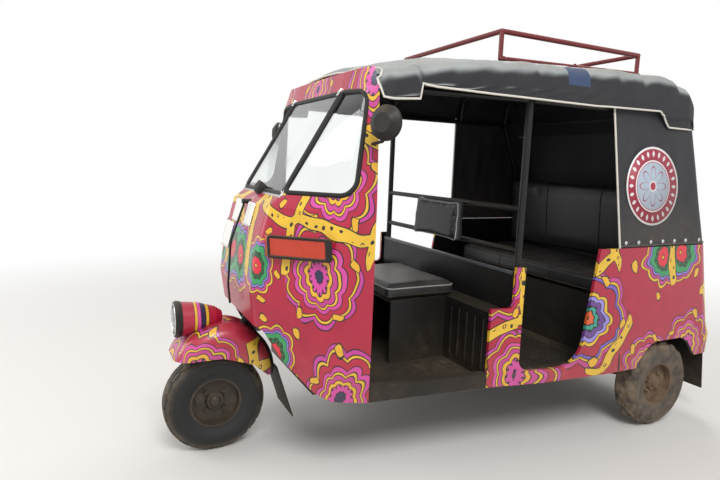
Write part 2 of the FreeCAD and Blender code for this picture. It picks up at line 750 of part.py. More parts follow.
def quarter_prism(inset, side):
    """The quarter window's outline, right through the frame."""
    corners = [(-374 + inset, belt_z + 14 + inset, 14), (-86 - inset, belt_z + 14 + inset, 60),
               (-74 - inset, header_z - 18 - inset, 46),
               (-220 + inset, header_z - 10 - inset, 14)]

    def at(a, b):
        return QUARTER_WAY * a + QUARTER_OUT * 660 + V(0, 0, b)
    shape = prism(corners, at, QUARTER_OUT * 220)
    return shape if side > 0 else mirrored(shape)


cuts = [screen_prism(0), quarter_prism(0, 1), quarter_prism(0, -1)]
feature("windscreen_frame", frame_shell.cut(cuts))

glass_deep = 5
pane = cowl_hull(FRAME_SECTIONS, glass_deep).cut(
    cowl_hull(FRAME_SECTIONS, glass_deep + float(dim.glass_wall), 1))
panes = [pane.common(shape) for shape in
         (screen_prism(gap), quarter_prism(gap, 1), quarter_prism(gap, -1))]
feature("cowl_glass", Part.makeCompound([solid for p in panes for solid in p.Solids]))

# Side indicators follow the cowl's corner
low_z = float(dim.lamp_low_z)
proud = float(dim.indicator_proud)
band = cowl_hull(lower_sections, -proud).cut(cowl_hull(lower_sections, -gap, 10))
window = solid_box((float(dim.indicator_rear_x), 200, low_z),
                   (float(dim.indicator_front_x), 600, low_z + float(dim.indicator_tall)))
both("indicator_lamps", band.common(window))

# Mirrors on the rear edge of the cowl
pillar_y = float(dim.cowl_half) - 10
mirror_r = float(dim.mirror_radius)
mirror_mid = V(float(dim.cowl_rear_x) + 24, pillar_y + float(dim.mirror_out),
               float(dim.mirror_z))
mirror_way = V(0.88, 0.475, 0)
dish_edge = Part.makeCylinder(mirror_r, 12, mirror_mid - mirror_way * 14, mirror_way)
dish_back = Part.makeCone(mirror_r, mirror_r * 0.55, 22, mirror_mid - mirror_way * 2, mirror_way)
stalk_foot = V(float(dim.cowl_rear_x) + 16, pillar_y - 22, float(dim.mirror_z) - 70)
stalk = tube([stalk_foot, mirror_mid + V(-8, -20, -60), mirror_mid + V(0, 0, -10)], 6, 18)
dish = dish_edge.fuse([dish_back, stalk]).cut(cowl_hull(FRAME_SECTIONS, -gap, 0))
both("mirrors", max(dish.Solids, key=lambda item: item.Volume))

# Wiper, parked down the middle of the nose
wiper_pivot = V(nose_x - 62 + 6, 0, 1046)
wiper_points = [wiper_pivot + V(10, 0, 0), V(nose_x + 12, 0, 880), V(nose_x + 22, 0, 700),
                V(nose_x + 14, 0, 620)]
wiper_arm = tube(wiper_points, 4.5, 120)
spindle = Part.makeCylinder(10, 40, wiper_pivot - V(18, 0, 0), V(1, 0, 0))
wiper = wiper_arm.fuse(spindle).cut(cowl_hull(lower_sections, -gap, 10))
feature("wiper", max(wiper.Solids, key=lambda item: item.Volume))

# Dashboard shelf behind the foot of the windscreen
shelf = solid_box((874, -500, belt_z - 26), (960, 500, belt_z - 8))
feature("dashboard", shelf.common(cowl_hull(lower_sections, cowl_wall + gap)))

# Chassis: two rails, cross members, down tube and steering head
floor_under = dim.floor_z - dim.floor_wall
rail_low = floor_under - dim.seat_gap - dim.rail_height
rail_high = floor_under - dim.seat_gap
rail_front_x, rail_rear_x = size(775), size(-1190)
outer = dim.rail_apart / 2
rails = [box(f"rail_{side}", (rail_rear_x, y, rail_low), (rail_front_x, y + dim.rail_width,
                                                          rail_high))
         for side, y in (("left", outer - dim.rail_width), ("right", -outer))]
crosses = [box(f"cross_{index}", (x, -outer, rail_low), (x + 50, outer, rail_high))
           for index, x in enumerate((size(725), size(60), -dim.arm_pivot_x - 25,
                                      size(-1190)))]
head_low = on_steer_axis(dim.steer_foot_z)
head_top = head_low + steer_axis * float(dim.head_length)
tube_foot_x = float(dim.floor_front_x) + 30
tube_points = [V(tube_foot_x, 0, float(rail_high) - 12), V(tube_foot_x + 20, 0, 420),
               head_low + steer_axis * 190]
tube_r = float(dim.down_tube_radius)
down_tube = tube(tube_points, tube_r, 120)
head_tube = Part.makeCylinder(float(dim.head_radius), float(dim.head_length), head_low,
                              steer_axis)
head_bore = Part.makeCylinder(column_r + gap, 600, head_low - steer_axis * 100, steer_axis)
spine = doc.addObject("Part::Feature", "head_and_down_tube")
spine.Shape = head_tube.fuse(down_tube).cut(head_bore)
joined("chassis_frame", rails + crosses + [spine])

# Floor, with a black step along each front doorway
SIDE_LINE = (
    # x, half width of the body
    (float(dim.cowl_rear_x), float(dim.cowl_half) - 7),
    (float(dim.pillar_front_x), float(dim.body_half) - 82),
    (-130, float(dim.body_half) - 35),
    (-505, float(dim.body_half) - 5),
    (-900, float(dim.body_half)),
)
floor_edge = 34
floor_front = float(dim.floor_front_x)
floor_points = [(floor_front, 462)] + [(x, y - floor_edge) for x, y in SIDE_LINE[:4]]
floor_points = floor_points + [(-float(dim.bench_front_x) - float(dim.bench_wall),
                                floor_points[-1][1])]
floor_plan = [(x, -y, 0) for x, y in floor_points] + \
             [(x, y, 0) for x, y in reversed(floor_points)]
floor_z = float(dim.floor_z)
floor = prism(floor_plan[::-1], lambda a, b: V(a, b, floor_z - float(dim.floor_wall)),
              V(0, 0, float(dim.floor_wall)))
step = prism([(float(dim.cowl_rear_x) - gap, SIDE_LINE[0][1] - 36, 0),
              (float(dim.cowl_rear_x) - gap, SIDE_LINE[0][1] - 2, 0),
              (float(dim.pillar_front_x) + gap, SIDE_LINE[1][1] - 2, 0),
              (float(dim.pillar_front_x) + gap, SIDE_LINE[1][1] - 36, 0)],
             lambda a, b: V(a, b, sill_z), V(0, 0, 60))
feature("floor_pan", floor.fuse([step, mirrored(step)]))

# Bulkhead: leg shield and roof of the front wheel's well, round the down tube
shield = side_prism([(floor_front, floor_z + gap, 0), (812, 640, 30), (nose_x, 640, 0),
                     (nose_x, 646, 0), (808, 646, 34), (floor_front - 6, floor_z + gap, 0)],
                    -600, 600)
shield = shield.common(cowl_hull(lower_sections, cowl_wall + gap, 0))
shield = shield.cut([
    Part.makeCylinder(float(dim.head_radius) + 2, 500, head_low - steer_axis * 20, steer_axis),
    tube(tube_points, tube_r + 2, 120)])
feature("bulkhead", max(shield.Solids, key=lambda item: item.Volume))

# Rear body: plan outlines at three heights make one tub, then real panels
TUB_SECTIONS = (
    # height, rear x, side in
    (sill_z, -float(body_rear) + 8, -4),
    (float(dim.bulge_z), -float(body_rear), -6),
    (float(dim.crease_z), -float(body_rear - dim.crease_in), -3),
    (float(dim.body_top_z), -float(body_rear - dim.body_top_in), 8),
)


def tub_hull(inset, front=0.0):
    """Solid of the rear body, set in by a wall and let out at the front."""
    wires = []
    for z, rear_x, side_in in TUB_SECTIONS:
        side = [(x, y - side_in if x < -400 else y, 300 if x < 100 else 0)
                for x, y in SIDE_LINE[1:4]]
        side = side + [(rear_x, float(dim.body_half) - side_in, float(dim.body_corner))]
        right = [(x, -y, radius) for x, y, radius in reversed(side)]
        corners = [(x, y, radius) for x, y, radius in side] + right
        amounts = [inset] * (len(corners) - 1) + [-front]
        wires.append(plan_wire(shrink(corners, amounts), z))
    return Part.makeLoft(wires, True, True)


body_wall = float(dim.body_wall)
tub = tub_hull(0).cut(tub_hull(body_wall, 60))
pillar_x, block_z = float(dim.pillar_front_x), float(dim.pillar_block_z)
strip_rear = -float(dim.pillar_rear_x)
strip_x = strip_rear + float(dim.pillar_width)
door_x = -float(dim.door_rear_x)
top_z = float(dim.body_top_z)
sill_top = float(dim.sill_top_z)
front_notch = [(pillar_x + 80, block_z, 0), (pillar_x + 80, top_z + 50, 0),
               (strip_x, top_z + 50, 0), (strip_x, block_z, 24)]
passenger_door = [(strip_rear, sill_top, 50), (strip_rear, top_z + 50, 0),
                  (door_x - 8, top_z + 50, 0),
                  (door_x + float(dim.door_slope) - 14, sill_top, 130)]
over_strip = [(strip_rear - 20, float(dim.pillar_top_z), 0), (strip_rear - 20, top_z + 60, 0),
              (strip_x + 60, top_z + 60, 0), (strip_x + 60, float(dim.pillar_top_z), 0)]
axle_x = float(rear_axle_x)
arch_top = float(dim.arch_top_z)
arch_front, arch_rear = axle_x + float(dim.arch_front), axle_x - float(dim.arch_rear)
wheel_arch = [(arch_front, sill_z - 60, 0), (arch_front - 6, sill_z + 10, 40),
              (arch_front - 90, arch_top, 110), (arch_rear + 100, arch_top, 110),
              (arch_rear + 10, sill_z + 10, 40), (arch_rear, sill_z - 60, 0)]
rear_lip = [(arch_rear - 400, sill_z - 60, 0), (arch_rear - 400, sill_z + 18, 0),
            (arch_rear + 40, sill_z + 12, 0), (arch_rear + 40, sill_z - 60, 0)]
holes = [side_prism(outline, -800, 800) for outline in
         (front_notch, passenger_door, over_strip, wheel_arch, rear_lip)]
tub = tub.cut(holes)
seam = float(dim.seam_y)
keep_left = solid_box((-1400, seam, 0), (400, 900, 1200))
left_side = tub.common(keep_left)
feature("body_side_left", left_side)
feature("body_side_right", mirrored(left_side))

hatch_half, hatch_low = float(dim.hatch_half), float(dim.hatch_low_z)
hatch_top, clear = float(dim.hatch_top_z), float(dim.running_gap)


def hatch_window(inset):
    """The engine hatch's outline, right through the rear panel."""
    corners = [(-hatch_half + inset, hatch_low + inset, 30),
               (hatch_half - inset, hatch_low + inset, 30),
               (hatch_half - inset, hatch_top - inset, 30),
               (-hatch_half + inset, hatch_top - inset, 30)]
    return prism(corners, lambda a, b: V(-1400, a, b), V(500, 0, 0))


back = tub.common(solid_box((-1400, -seam, 0), (-1000, seam, 1200)))
lean = float(dim.body_top_in - dim.crease_in) / (top_z - float(dim.crease_z))


def rear_face_x(z):
    """Outer face of the rear panel above its crease."""
    return -float(body_rear - dim.crease_in) + (z - float(dim.crease_z)) * lean


hinge_z = hatch_top + 2
hinge_x = rear_face_x(hinge_z) - float(dim.hinge_out)
hinge_r = float(dim.hinge_radius)
leaf = float(dim.hinge_leaf)


def hinge_leaf(y, rise):
    """One leaf with its knuckle, on the panel above or on the lid below."""
    foot = hinge_z + rise
    strap = side_prism([(hinge_x - hinge_r + 1, hinge_z, 0), (hinge_x + hinge_r - 1, hinge_z, 0),
                        (rear_face_x(foot) + 4, foot, 0), (rear_face_x(foot) - 3, foot, 0)],
                       y, y + leaf)
    knuckle = Part.makeCylinder(hinge_r, leaf, V(hinge_x, y, hinge_z), V(0, 1, 0))
    return strap.fuse(knuckle)


def hinge_pair(y, rise):
    """The same leaf on the left and right hinges."""
    one = hinge_leaf(y, rise)
    return [one, mirrored(one)]


hinge_y = float(dim.hinge_y)
feature("rear_panel", back.cut(hatch_window(0)).fuse(hinge_pair(hinge_y, 34)))
lid = tub_hull(0).cut(tub_hull(body_wall, 60)).common(hatch_window(clear))
lid = lid.fuse(hinge_pair(hinge_y + leaf + gap, -44))
slots = [solid_box((-1400, y, hatch_low + 120 + 34 * n), (-1100, y + 130, hatch_low + 132 + 34 * n))
         for n in range(4) for y in (-210, 80)]
feature("engine_hatch", lid.cut(slots))

# Rear bumper, tail lamps and rubber flaps
reach = float(dim.rear_reach)
bumper_low = float(dim.bumper_z) - float(dim.bumper_tall) / 2
bumper_high = bumper_low + float(dim.bumper_tall)
bumper_half = float(dim.bumper_half)
bar = prism([(-reach, -bumper_half + 30, 12), (-reach + 22, -bumper_half, 8),
             (-reach + 22, bumper_half, 8), (-reach, bumper_half - 30, 12)],
            lambda a, b: V(a, b, bumper_low), V(0, 0, bumper_high - bumper_low))
stays = [solid_box((-reach + 21, y, bumper_low + 8), (-reach + 140, y + 30, bumper_high - 8))
         for y in (-270, 240)]
stays = [stay.cut(tub_hull(0)) for stay in stays]
stays = [min(stay.Solids, key=lambda item: item.BoundBox.XMin) for stay in stays]
feature("rear_bumper", bar.fuse(stays))
tail = solid_box((-1400, 345, 690), (-1000, 425, 850))
tail_band = tub_hull(-26).cut(tub_hull(-gap, 10)).common(tail)
both("tail_lamps", tail_band)
flap_low = float(dim.rear_flap_low_z)
flap_y = float(dim.body_half) - body_wall - 10.7 - float(dim.rear_flap_width)
flap_top = sill_z + 70
flap_x = axle_x - float(dim.arch_rear) - 92
flap = side_prism(
    [(flap_x, flap_top, 0), (flap_x - float(dim.rubber_wall), flap_top, 0),
     (flap_x - 40 - float(dim.rubber_wall), flap_low, 0), (flap_x - 40, flap_low, 0)],
    flap_y, flap_y + float(dim.rear_flap_width))
room = tub_hull(body_wall + gap, 0).fuse(solid_box((-1400, 0, 0), (0, 800, sill_z + 2)))
flap = max(flap.common(room).Solids, key=lambda item: item.Volume)
both("rear_mudflaps", flap)

# Partition board, the box in front of it and the driver's seat stand
post_front = dim.post_x + dim.post_radius + dim.seat_gap
board = box("board", (post_front, -partition_half, dim.floor_z + dim.seat_gap),
            (post_front + dim.partition_wall, partition_half, dim.partition_z))
store = box("store", (post_front + dim.partition_wall, -partition_half + 12,
                      dim.floor_z + dim.seat_gap),
            (dim.box_front_x, partition_half - 12, dim.box_top_z))
joined("partition", [board, store])
stand_front = dim.driver_seat_rear_x + dim.driver_seat_depth - 40
stand = padded("driver_seat_stand", "YZ_Plane", [
    (-dim.driver_seat_half + 20, dim.floor_z + dim.seat_gap),
    (-dim.driver_seat_half + 30, dim.floor_z + dim.seat_gap),
    (-dim.driver_seat_half + 30, dim.box_top_z - 12),
    (dim.driver_seat_half - 30, dim.box_top_z - 12),
    (dim.driver_seat_half - 30, dim.floor_z + dim.seat_gap),
    (dim.driver_seat_half - 20, dim.floor_z + dim.seat_gap),
    (dim.driver_seat_half - 20, dim.box_top_z),
    (-dim.driver_seat_half + 20, dim.box_top_z)],
    (stand_front + dim.box_front_x + dim.seat_gap) / 2,
    stand_front - dim.box_front_x - dim.seat_gap)


def cushion(label, low, high, radius):
    """A soft pad with rounded edges."""
    body = padded(label, "XY_Plane", [
        (low[0], low[1]), (high[0], low[1]), (high[0], high[1]), (low[0], high[1])],
        (size(low[2]) + high[2]) / 2, size(high[2]) - low[2])
    return round_edges(body, radius, lambda edge: True)


cushion("driver_seat", (dim.driver_seat_rear_x, -dim.driver_seat_half,
                        dim.box_top_z + dim.seat_gap),
        (dim.driver_seat_rear_x + dim.driver_seat_depth, dim.driver_seat_half,
         dim.box_top_z + dim.driver_seat_tall), 22)
bar_face = dim.post_x + dim.post_radius - 2 + dim.seat_gap
rest_low, rest_top = dim.driver_back_low_z, dim.driver_back_low_z + dim.driver_back_tall
driver_rest = padded("driver_backrest", "XZ_Plane", [
    (bar_face, rest_low), (bar_face + dim.driver_back_thick, rest_low),
    (bar_face + dim.driver_back_thick - 22, rest_top), (bar_face, rest_top)],
    0, dim.driver_back_half * 2)
round_edges(driver_rest, 15, lambda edge: True)

# Cross sections of the canvas roof along its length
HOOD_SECTIONS = (
    # x, crown below the top, side in from the full half width, piping above its
    # height, shoulder below the crown, rounding of the shoulder
    (float(dim.hood_front_x), 158, 92, 0, 60, 46),
    (600, 115, 50, 4, 70, 56),
    (430, 68, 14, 14, 76, 70),
    (200, 36, 0, 26, 78, 74),
    (-400, 6, 0, 50, 78, 74),
    (-735, 0, 0, 56, 74, 70),
    (-805, 2, 0, -12, 74, 70),
    (hood_rear + 60, 32, 6, -8, 74, 70),
    (hood_rear, 108, 20, -8, 60, 44),
)


def roof_top(x):
    """Nominal top of the canvas roof at a place along it."""
    ahead = max(n for n, row in enumerate(HOOD_SECTIONS) if row[0] >= x)
    (x0, drop0), (x1, drop1) = [HOOD_SECTIONS[n][:2] for n in (ahead, ahead + 1)]
    return float(dim.hood_top_z) - drop0 - (drop1 - drop0) * (x0 - x) / (x0 - x1)


# Hood frame: the centre posts with their bars, and the roof's rails and hoops
post_r = float(dim.post_radius)
post_x = float(dim.post_x)
rail_z = float(dim.rail_z)
post_foot = V(post_x, float(dim.body_half - dim.post_foot_in), float(dim.floor_z) + gap)
post_head = V(post_x, float(dim.body_half - dim.post_head_in), rail_z)


def post_y(z):
    """The leaning centre post at a height."""
    share = (z - post_foot.z) / (post_head.z - post_foot.z)
    return post_foot.y + (post_head.y - post_foot.y) * share


rail_y = post_head.y


def hoop_arch(x):
    """Points of a hoop over the roof, from the left rail to the right one."""
    crown = roof_top(x) - float(dim.canvas_wall) - 30
    shoulder = V(x, rail_y - 22, crown - 62)
    half = [V(x, rail_y, rail_z), shoulder]
    return half + [V(x, 0, crown)] + [V(x, -p.y, p.z) for p in reversed(half)]


hoop_points = [post_foot] + hoop_arch(post_x) + [V(post_x, -post_foot.y, post_foot.z)]
hoop = tube(hoop_points, post_r, 60)
bars = [Part.makeCylinder(post_r - 2, 2 * post_y(z), V(post_x, -post_y(z), z), V(0, 1, 0))
        for z in (float(dim.low_bar_z), float(dim.high_bar_z))]
feature("centre_frame", hoop.fuse(bars))
rear_hoop_x = hood_rear + 195


def roof_hoop(x):
    """A hoop over the roof between the two rails."""
    return tube(hoop_arch(x), post_r - 2, 60)


cowl_back = float(dim.cowl_rear_x)
front_rails = [tube([V(post_x + post_r + gap, side * rail_y, rail_z),
                     V(cowl_back - 1.4, side * (float(dim.cowl_half) - 36), rail_z)],
                    post_r - 2, 1) for side in (1, -1)]
rear_rails = [Part.makeCylinder(post_r - 2, post_x - post_r - gap - rear_hoop_x,
                                V(rear_hoop_x, side * rail_y, rail_z), V(1, 0, 0))
              for side in (1, -1)]
legs = [tube([V(rear_hoop_x, side * rail_y, rail_z), V(-float(dim.leg_foot_x), side * 560,
                                                       top_z + 3)], post_r - 2, 1)
        for side in (1, -1)]
rear_frame = roof_hoop(rear_hoop_x).fuse([roof_hoop(-480)] + rear_rails + legs)
feature("roof_frame", Part.makeCompound(rear_frame.Solids + front_rails))

# Inner sheet of the rear: bench box and the roofs of the wheel wells
bench_x, bench_back = -float(dim.bench_front_x), -float(dim.bench_rear_x)
bench_z, sheet_wall = float(dim.bench_z), float(dim.bench_wall)
lip = 60
fold = side_prism([
    (bench_x, floor_z + gap, 0), (bench_x, bench_z, 0), (bench_back, bench_z, 0),
    (bench_back, bench_z - lip, 0), (bench_back + sheet_wall, bench_z - lip, 0),
    (bench_back + sheet_wall, bench_z - sheet_wall, 0),
    (bench_x - sheet_wall, bench_z - sheet_wall, 0),
    (bench_x - sheet_wall, floor_z + gap, 0)], -bench_half, bench_half)
well_z = arch_top + 14
well_front, well_rear = arch_front + 16, arch_rear - 12
well = side_prism([
    (well_front, sill_z + 20, 0), (well_front, well_z + sheet_wall, 0),
    (well_rear, well_z + sheet_wall, 0), (well_rear, sill_z + 20, 0),
    (well_rear + sheet_wall, sill_z + 20, 0), (well_rear + sheet_wall, well_z, 0),
    (well_front - sheet_wall, well_z, 0), (well_front - sheet_wall, sill_z + 20, 0)],
    bench_half - sheet_wall, 700)
cheek = solid_box((well_rear, bench_half - sheet_wall, floor_z + gap),
                  (bench_x, bench_half, bench_z))
shock_x = axle_x + 60
arm_in, arm_thick = float(dim.arm_inside_y), float(dim.arm_thick)
bracket = solid_box((shock_x - 34, arm_in - 6, well_z),
                    (shock_x + 34, bench_half - 1, well_z + sheet_wall))
well = well.fuse([cheek, bracket]).common(tub_hull(body_wall + gap, 0))
feature("rear_inner_sheet", fold.fuse([well, mirrored(well)]))

# Passenger bench
soft = float(dim.soft_gap)
bench_top = dim.bench_z + dim.seat_gap
cushion("passenger_seat", (-dim.bench_rear_x + dim.bench_back_thick * 0.3, -cushion_half,
                           bench_top),
        (-dim.bench_front_x + 24, cushion_half, bench_top + dim.cushion_tall), 30)
back_low = bench_top + dim.cushion_tall + dim.soft_gap
back_mid = -dim.bench_rear_x + 10
back_pad = padded("passenger_backrest", "XZ_Plane", [
    (back_mid, back_low), (back_mid + dim.bench_back_thick, back_low),
    (back_mid + dim.bench_back_thick + 30, back_low + dim.bench_back_tall),
    (back_mid + 30, back_low + dim.bench_back_tall)], 0, cushion_half * 2 - 40)
round_edges(back_pad, 26, lambda edge: True)

# Canvas roof


def hood_wire(x, drop, side_in, rise, shoulder_down, rounding, inset):
    """Cross section of the roof: two sides, two shoulders and a crowned top."""
    half = hood_half - side_in
    low = float(dim.valance_z) + rise
    top = float(dim.hood_top_z) - drop
    bulge = 24
    corners = [(half, low, 0), (half - 14, top - shoulder_down, rounding),
               (0, top + bulge, 1900), (-half + 14, top - shoulder_down, rounding),
               (-half, low, 0)]
    corners = shrink(corners, [inset] * 4 + [0 if inset == 0 else -20])
    return Part.Wire(path_edges(corners, lambda a, b: V(x, a, b)))


def hood_solid(inset, ends):
    """Roof solid, set in by the canvas and closed or open at its ends."""
    wires = []
    for index, (x, *form) in enumerate(HOOD_SECTIONS):
        if index == 0:
            x = x + ends
        if index == len(HOOD_SECTIONS) - 1 and inset > 0:
            x = x + float(dim.canvas_wall)
        wires.append(hood_wire(x, *form, inset))
    return Part.makeLoft(wires, True, True)


canvas = float(dim.canvas_wall)
roof = hood_solid(0, 0).cut(hood_solid(canvas, 1))
roof = roof.cut(cowl_hull(FRAME_SECTIONS, -gap, 0))
feature("canopy_roof", max(roof.Solids, key=lambda item: item.Volume))

# Canvas sides and back: plan outlines at foot and head
foot_z = top_z + gap
head_z = float(dim.valance_z) + 75
FLAP_SECTIONS = (
    # height, front x, rear x, half width, rounding of the rear corners
    (foot_z, -float(dim.flap_front_x), -float(body_rear - dim.flap_rear_in), flap_foot_half, 100),
    (head_z, -float(dim.flap_head_x), hood_rear + 2, hood_half - 22, 45),
)


def flap_hull(inset, front):
    """Solid inside the canvas sides and back."""
    wires = []
    for z, front_x, rear_x, half, rounding in FLAP_SECTIONS:
        corners = [(front_x, half, 0), (rear_x, half, rounding), (rear_x, -half, rounding),
                   (front_x, -half, 0)]
        amounts = [inset, inset, inset, -front]
        wires.append(plan_wire(shrink(corners, amounts), z))
    return Part.makeLoft(wires, True, True)


feature("canopy_rear", flap_hull(0, 0).cut(flap_hull(canvas, 60)).cut(hood_solid(0, 0)
        .cut(hood_solid(canvas, 1))))

# Roof rack: top loop, posts and foot bars in one welded frame
rack_r = float(dim.rack_radius)
rack_z, rack_half = float(dim.rack_z), float(dim.rack_half)
rack_front, rack_rear = float(dim.rack_front_x), -float(dim.rack_rear_x)
roof_slope = (78 + 24) / (hood_half - 14)


def roof_beside(x):
    """The canvas roof's surface below the rack's side rails."""
    return roof_top(x) + 24 - roof_slope * rack_half


foot_r = float(dim.rack_foot_radius)
pieces = []
for side in (1, -1):
    pieces.append(Part.makeCylinder(rack_r, rack_front - rack_rear,
                                    V(rack_rear, side * rack_half, rack_z), V(1, 0, 0)))
    feet = [V(x, side * rack_half, roof_beside(x) + foot_r) for x in (rack_front, rack_rear)]
    pieces.append(Part.makeCylinder(foot_r, (feet[1] - feet[0]).Length, feet[0],
                                    (feet[1] - feet[0]).normalize()))
    for foot in feet:
        pieces.append(Part.makeCylinder(rack_r - 1, rack_z - foot.z, foot, UP))
        pieces.append(Part.makeSphere(rack_r - 1, foot))
for x in (rack_front, rack_rear):
    pieces.append(Part.makeCylinder(rack_r, 2 * rack_half, V(x, -rack_half, rack_z),
                                    V(0, 1, 0)))
corner_balls = [Part.makeSphere(rack_r, V(x, side * rack_half, rack_z))
                for x in (rack_front, rack_rear) for side in (1, -1)]
rack = pieces[0].fuse(pieces[1:] + corner_balls).cut(hood_solid(-gap, 0))
feature("roof_rack", max(rack.Solids, key=lambda item: item.Volume))

# Engine block, rear arms, shafts, shocks and silencer
engine_x = rear_axle_x - 30
box_node = box("engine_block", (engine_x - dim.engine_long / 2, -dim.engine_wide / 2,
                                dim.engine_low_z),
               (engine_x + dim.engine_long / 2, dim.engine_wide / 2,
                dim.engine_low_z + dim.engine_tall))
keep("engine_block", box_node)

hub_z = float(dim.tyre_radius)
arm_pivot_x = -float(dim.arm_pivot_x)
arm = side_prism([(axle_x - 40, hub_z - 30, 25), (arm_pivot_x + 30, float(rail_low) - 6, 20),
                  (arm_pivot_x + 30, float(rail_low) + 40, 20), (axle_x - 40, hub_z + 40, 25)],
                 arm_in, arm_in + arm_thick)
wheel_mid_y = float(half_track)
stub_end = wheel_mid_y + 8
stub = Part.makeCylinder(float(dim.axle_radius), stub_end - arm_in, V(axle_x, arm_in, hub_z),
                         V(0, 1, 0))
backing_y = wheel_mid_y - float(dim.drum_inside) - float(dim.running_gap)
backing = Part.makeCylinder(float(dim.drum_radius) - 4, backing_y - arm_in - arm_thick + 1,
                            V(axle_x, arm_in + arm_thick - 1, hub_z), V(0, 1, 0))
pivot_pin = Part.makeCylinder(14, arm_in - float(outer) + 1 - gap,
                              V(arm_pivot_x, float(outer) + gap, float(rail_low) + 20),
                              V(0, 1, 0))
both("rear_arms", arm.fuse([stub, backing, pivot_pin]))
spring_foot = V(shock_x, arm_in + arm_thick / 2, hub_z + 65)
both("rear_shocks", Part.makeCylinder(24, well_z - gap - spring_foot.z, spring_foot, UP))
shaft_start = float(dim.engine_wide) / 2 + gap
both("drive_shafts", Part.makeCylinder(13, arm_in - gap - shaft_start,
                                       V(axle_x, shaft_start, hub_z + 40), V(0, 1, 0)))
silencer_long = float(dim.silencer_long)
feature("silencer", Part.makeCylinder(float(dim.silencer_radius), silencer_long,
                                      V(-1178, -silencer_long / 2,
                                        float(rail_low) - gap - float(dim.silencer_radius)),
                                      V(0, 1, 0)))

# Check every object, then write one file for each node
doc.recompute()
bad = [item.Label for item in doc.Objects
       if "Invalid" in item.State or "Error" in item.State]
if bad:
    raise RuntimeError("objects that failed: " + ", ".join(bad))
for label, item in nodes.items():
    if item.Shape.isNull() or not item.Shape.isValid() or not item.Shape.Solids:
        raise RuntimeError(f"{label} has no valid solid")
os.makedirs("parts", exist_ok=True)
for label, item in nodes.items():
    item.Shape.exportStep(f"parts/{label}.step")
print(len(nodes), "nodes written")
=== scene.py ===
# %% [markdown]
# # A painted auto rickshaw
# The CAD model is loaded as a fixed frame. Its sheet metal stays as it is and gets better finishes,
# and what is soft, sewn, moulded or screwed on is modelled here round it, in metres, in the same place.

# %% Load the frame and measure it
import math
from functools import partial

import bmesh
import bpy
from mathutils import Matrix, Vector
from mathutils.bvhtree import BVHTree


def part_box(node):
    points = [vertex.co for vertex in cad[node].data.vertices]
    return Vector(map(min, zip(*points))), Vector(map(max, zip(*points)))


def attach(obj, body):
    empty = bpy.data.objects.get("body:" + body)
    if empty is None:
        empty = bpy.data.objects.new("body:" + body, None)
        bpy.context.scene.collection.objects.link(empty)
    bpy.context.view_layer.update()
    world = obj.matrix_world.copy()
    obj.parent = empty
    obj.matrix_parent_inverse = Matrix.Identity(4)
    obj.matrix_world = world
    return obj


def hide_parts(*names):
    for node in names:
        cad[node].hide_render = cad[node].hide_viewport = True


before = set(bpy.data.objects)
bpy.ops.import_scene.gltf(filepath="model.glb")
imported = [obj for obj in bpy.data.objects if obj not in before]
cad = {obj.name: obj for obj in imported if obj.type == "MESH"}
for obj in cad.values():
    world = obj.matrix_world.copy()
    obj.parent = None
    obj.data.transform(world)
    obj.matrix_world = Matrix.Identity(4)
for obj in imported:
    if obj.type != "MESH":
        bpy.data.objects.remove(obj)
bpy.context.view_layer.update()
scene = bpy.context.scene

# %% [markdown]
# The camera stands where the photographer stood: left of the nose, low, with a slightly tilted horizon.
# It could be placed by eye, but fitting it to the three wheels, windscreen and roof rack is exact. The
# fit gives a position, three angles and a focal length in pixels of the 720 wide picture.

# %% Camera
PICTURE_WIDTH = 720
camera_place = Vector((1.5548, 2.2119, 1.2160))
heading, pitch, tilt, focal_pixels = 0.4645, 0.1398, 0.0367, 541.98

level_ahead = Vector((-math.sin(heading), -math.cos(heading), 0))
ahead = level_ahead * math.cos(pitch) - Vector((0, 0, math.sin(pitch)))
right = ahead.cross(Vector((0, 0, 1))).normalized()
above = right.cross(ahead)
tilted_right = math.cos(tilt) * right + math.sin(tilt) * above
tilted_above = math.cos(tilt) * above - math.sin(tilt) * right
camera = bpy.data.objects.new("camera", bpy.data.cameras.new("camera"))
camera.matrix_world = Matrix.Translation(camera_place) @ Matrix(
    (tilted_right, tilted_above, -ahead)).transposed().to_4x4()
camera.data.sensor_fit = "HORIZONTAL"
camera.data.lens = focal_pixels / PICTURE_WIDTH * camera.data.sensor_width
scene.collection.objects.link(camera)
scene.camera = camera
print("lens", round(camera.data.lens, 2), "mm")

# %% [markdown]
# A finish is a small tree of nodes. Every tree here is built from one helper that adds any node, fills or
# links its sockets and sets its properties, so that each finish below reads as a list of what it is made
# of. Colours are written as they look on a screen (sRGB) and turned into light by one function.

# %% One helper for every node
MAIN_SETTING = {"Math": "operation", "VectorMath": "operation", "Mix": "data_type",
                "MapRange": "interpolation_type", "TexVoronoi": "feature"}


def colour(code):
    """An sRGB hex colour as linear light with alpha."""
    parts = [int(code[i:i + 2], 16) / 255 for i in (0, 2, 4)]
    return (*[c / 12.92 if c <= 0.04045 else ((c + 0.055) / 1.055) ** 2.4 for c in parts], 1.0)


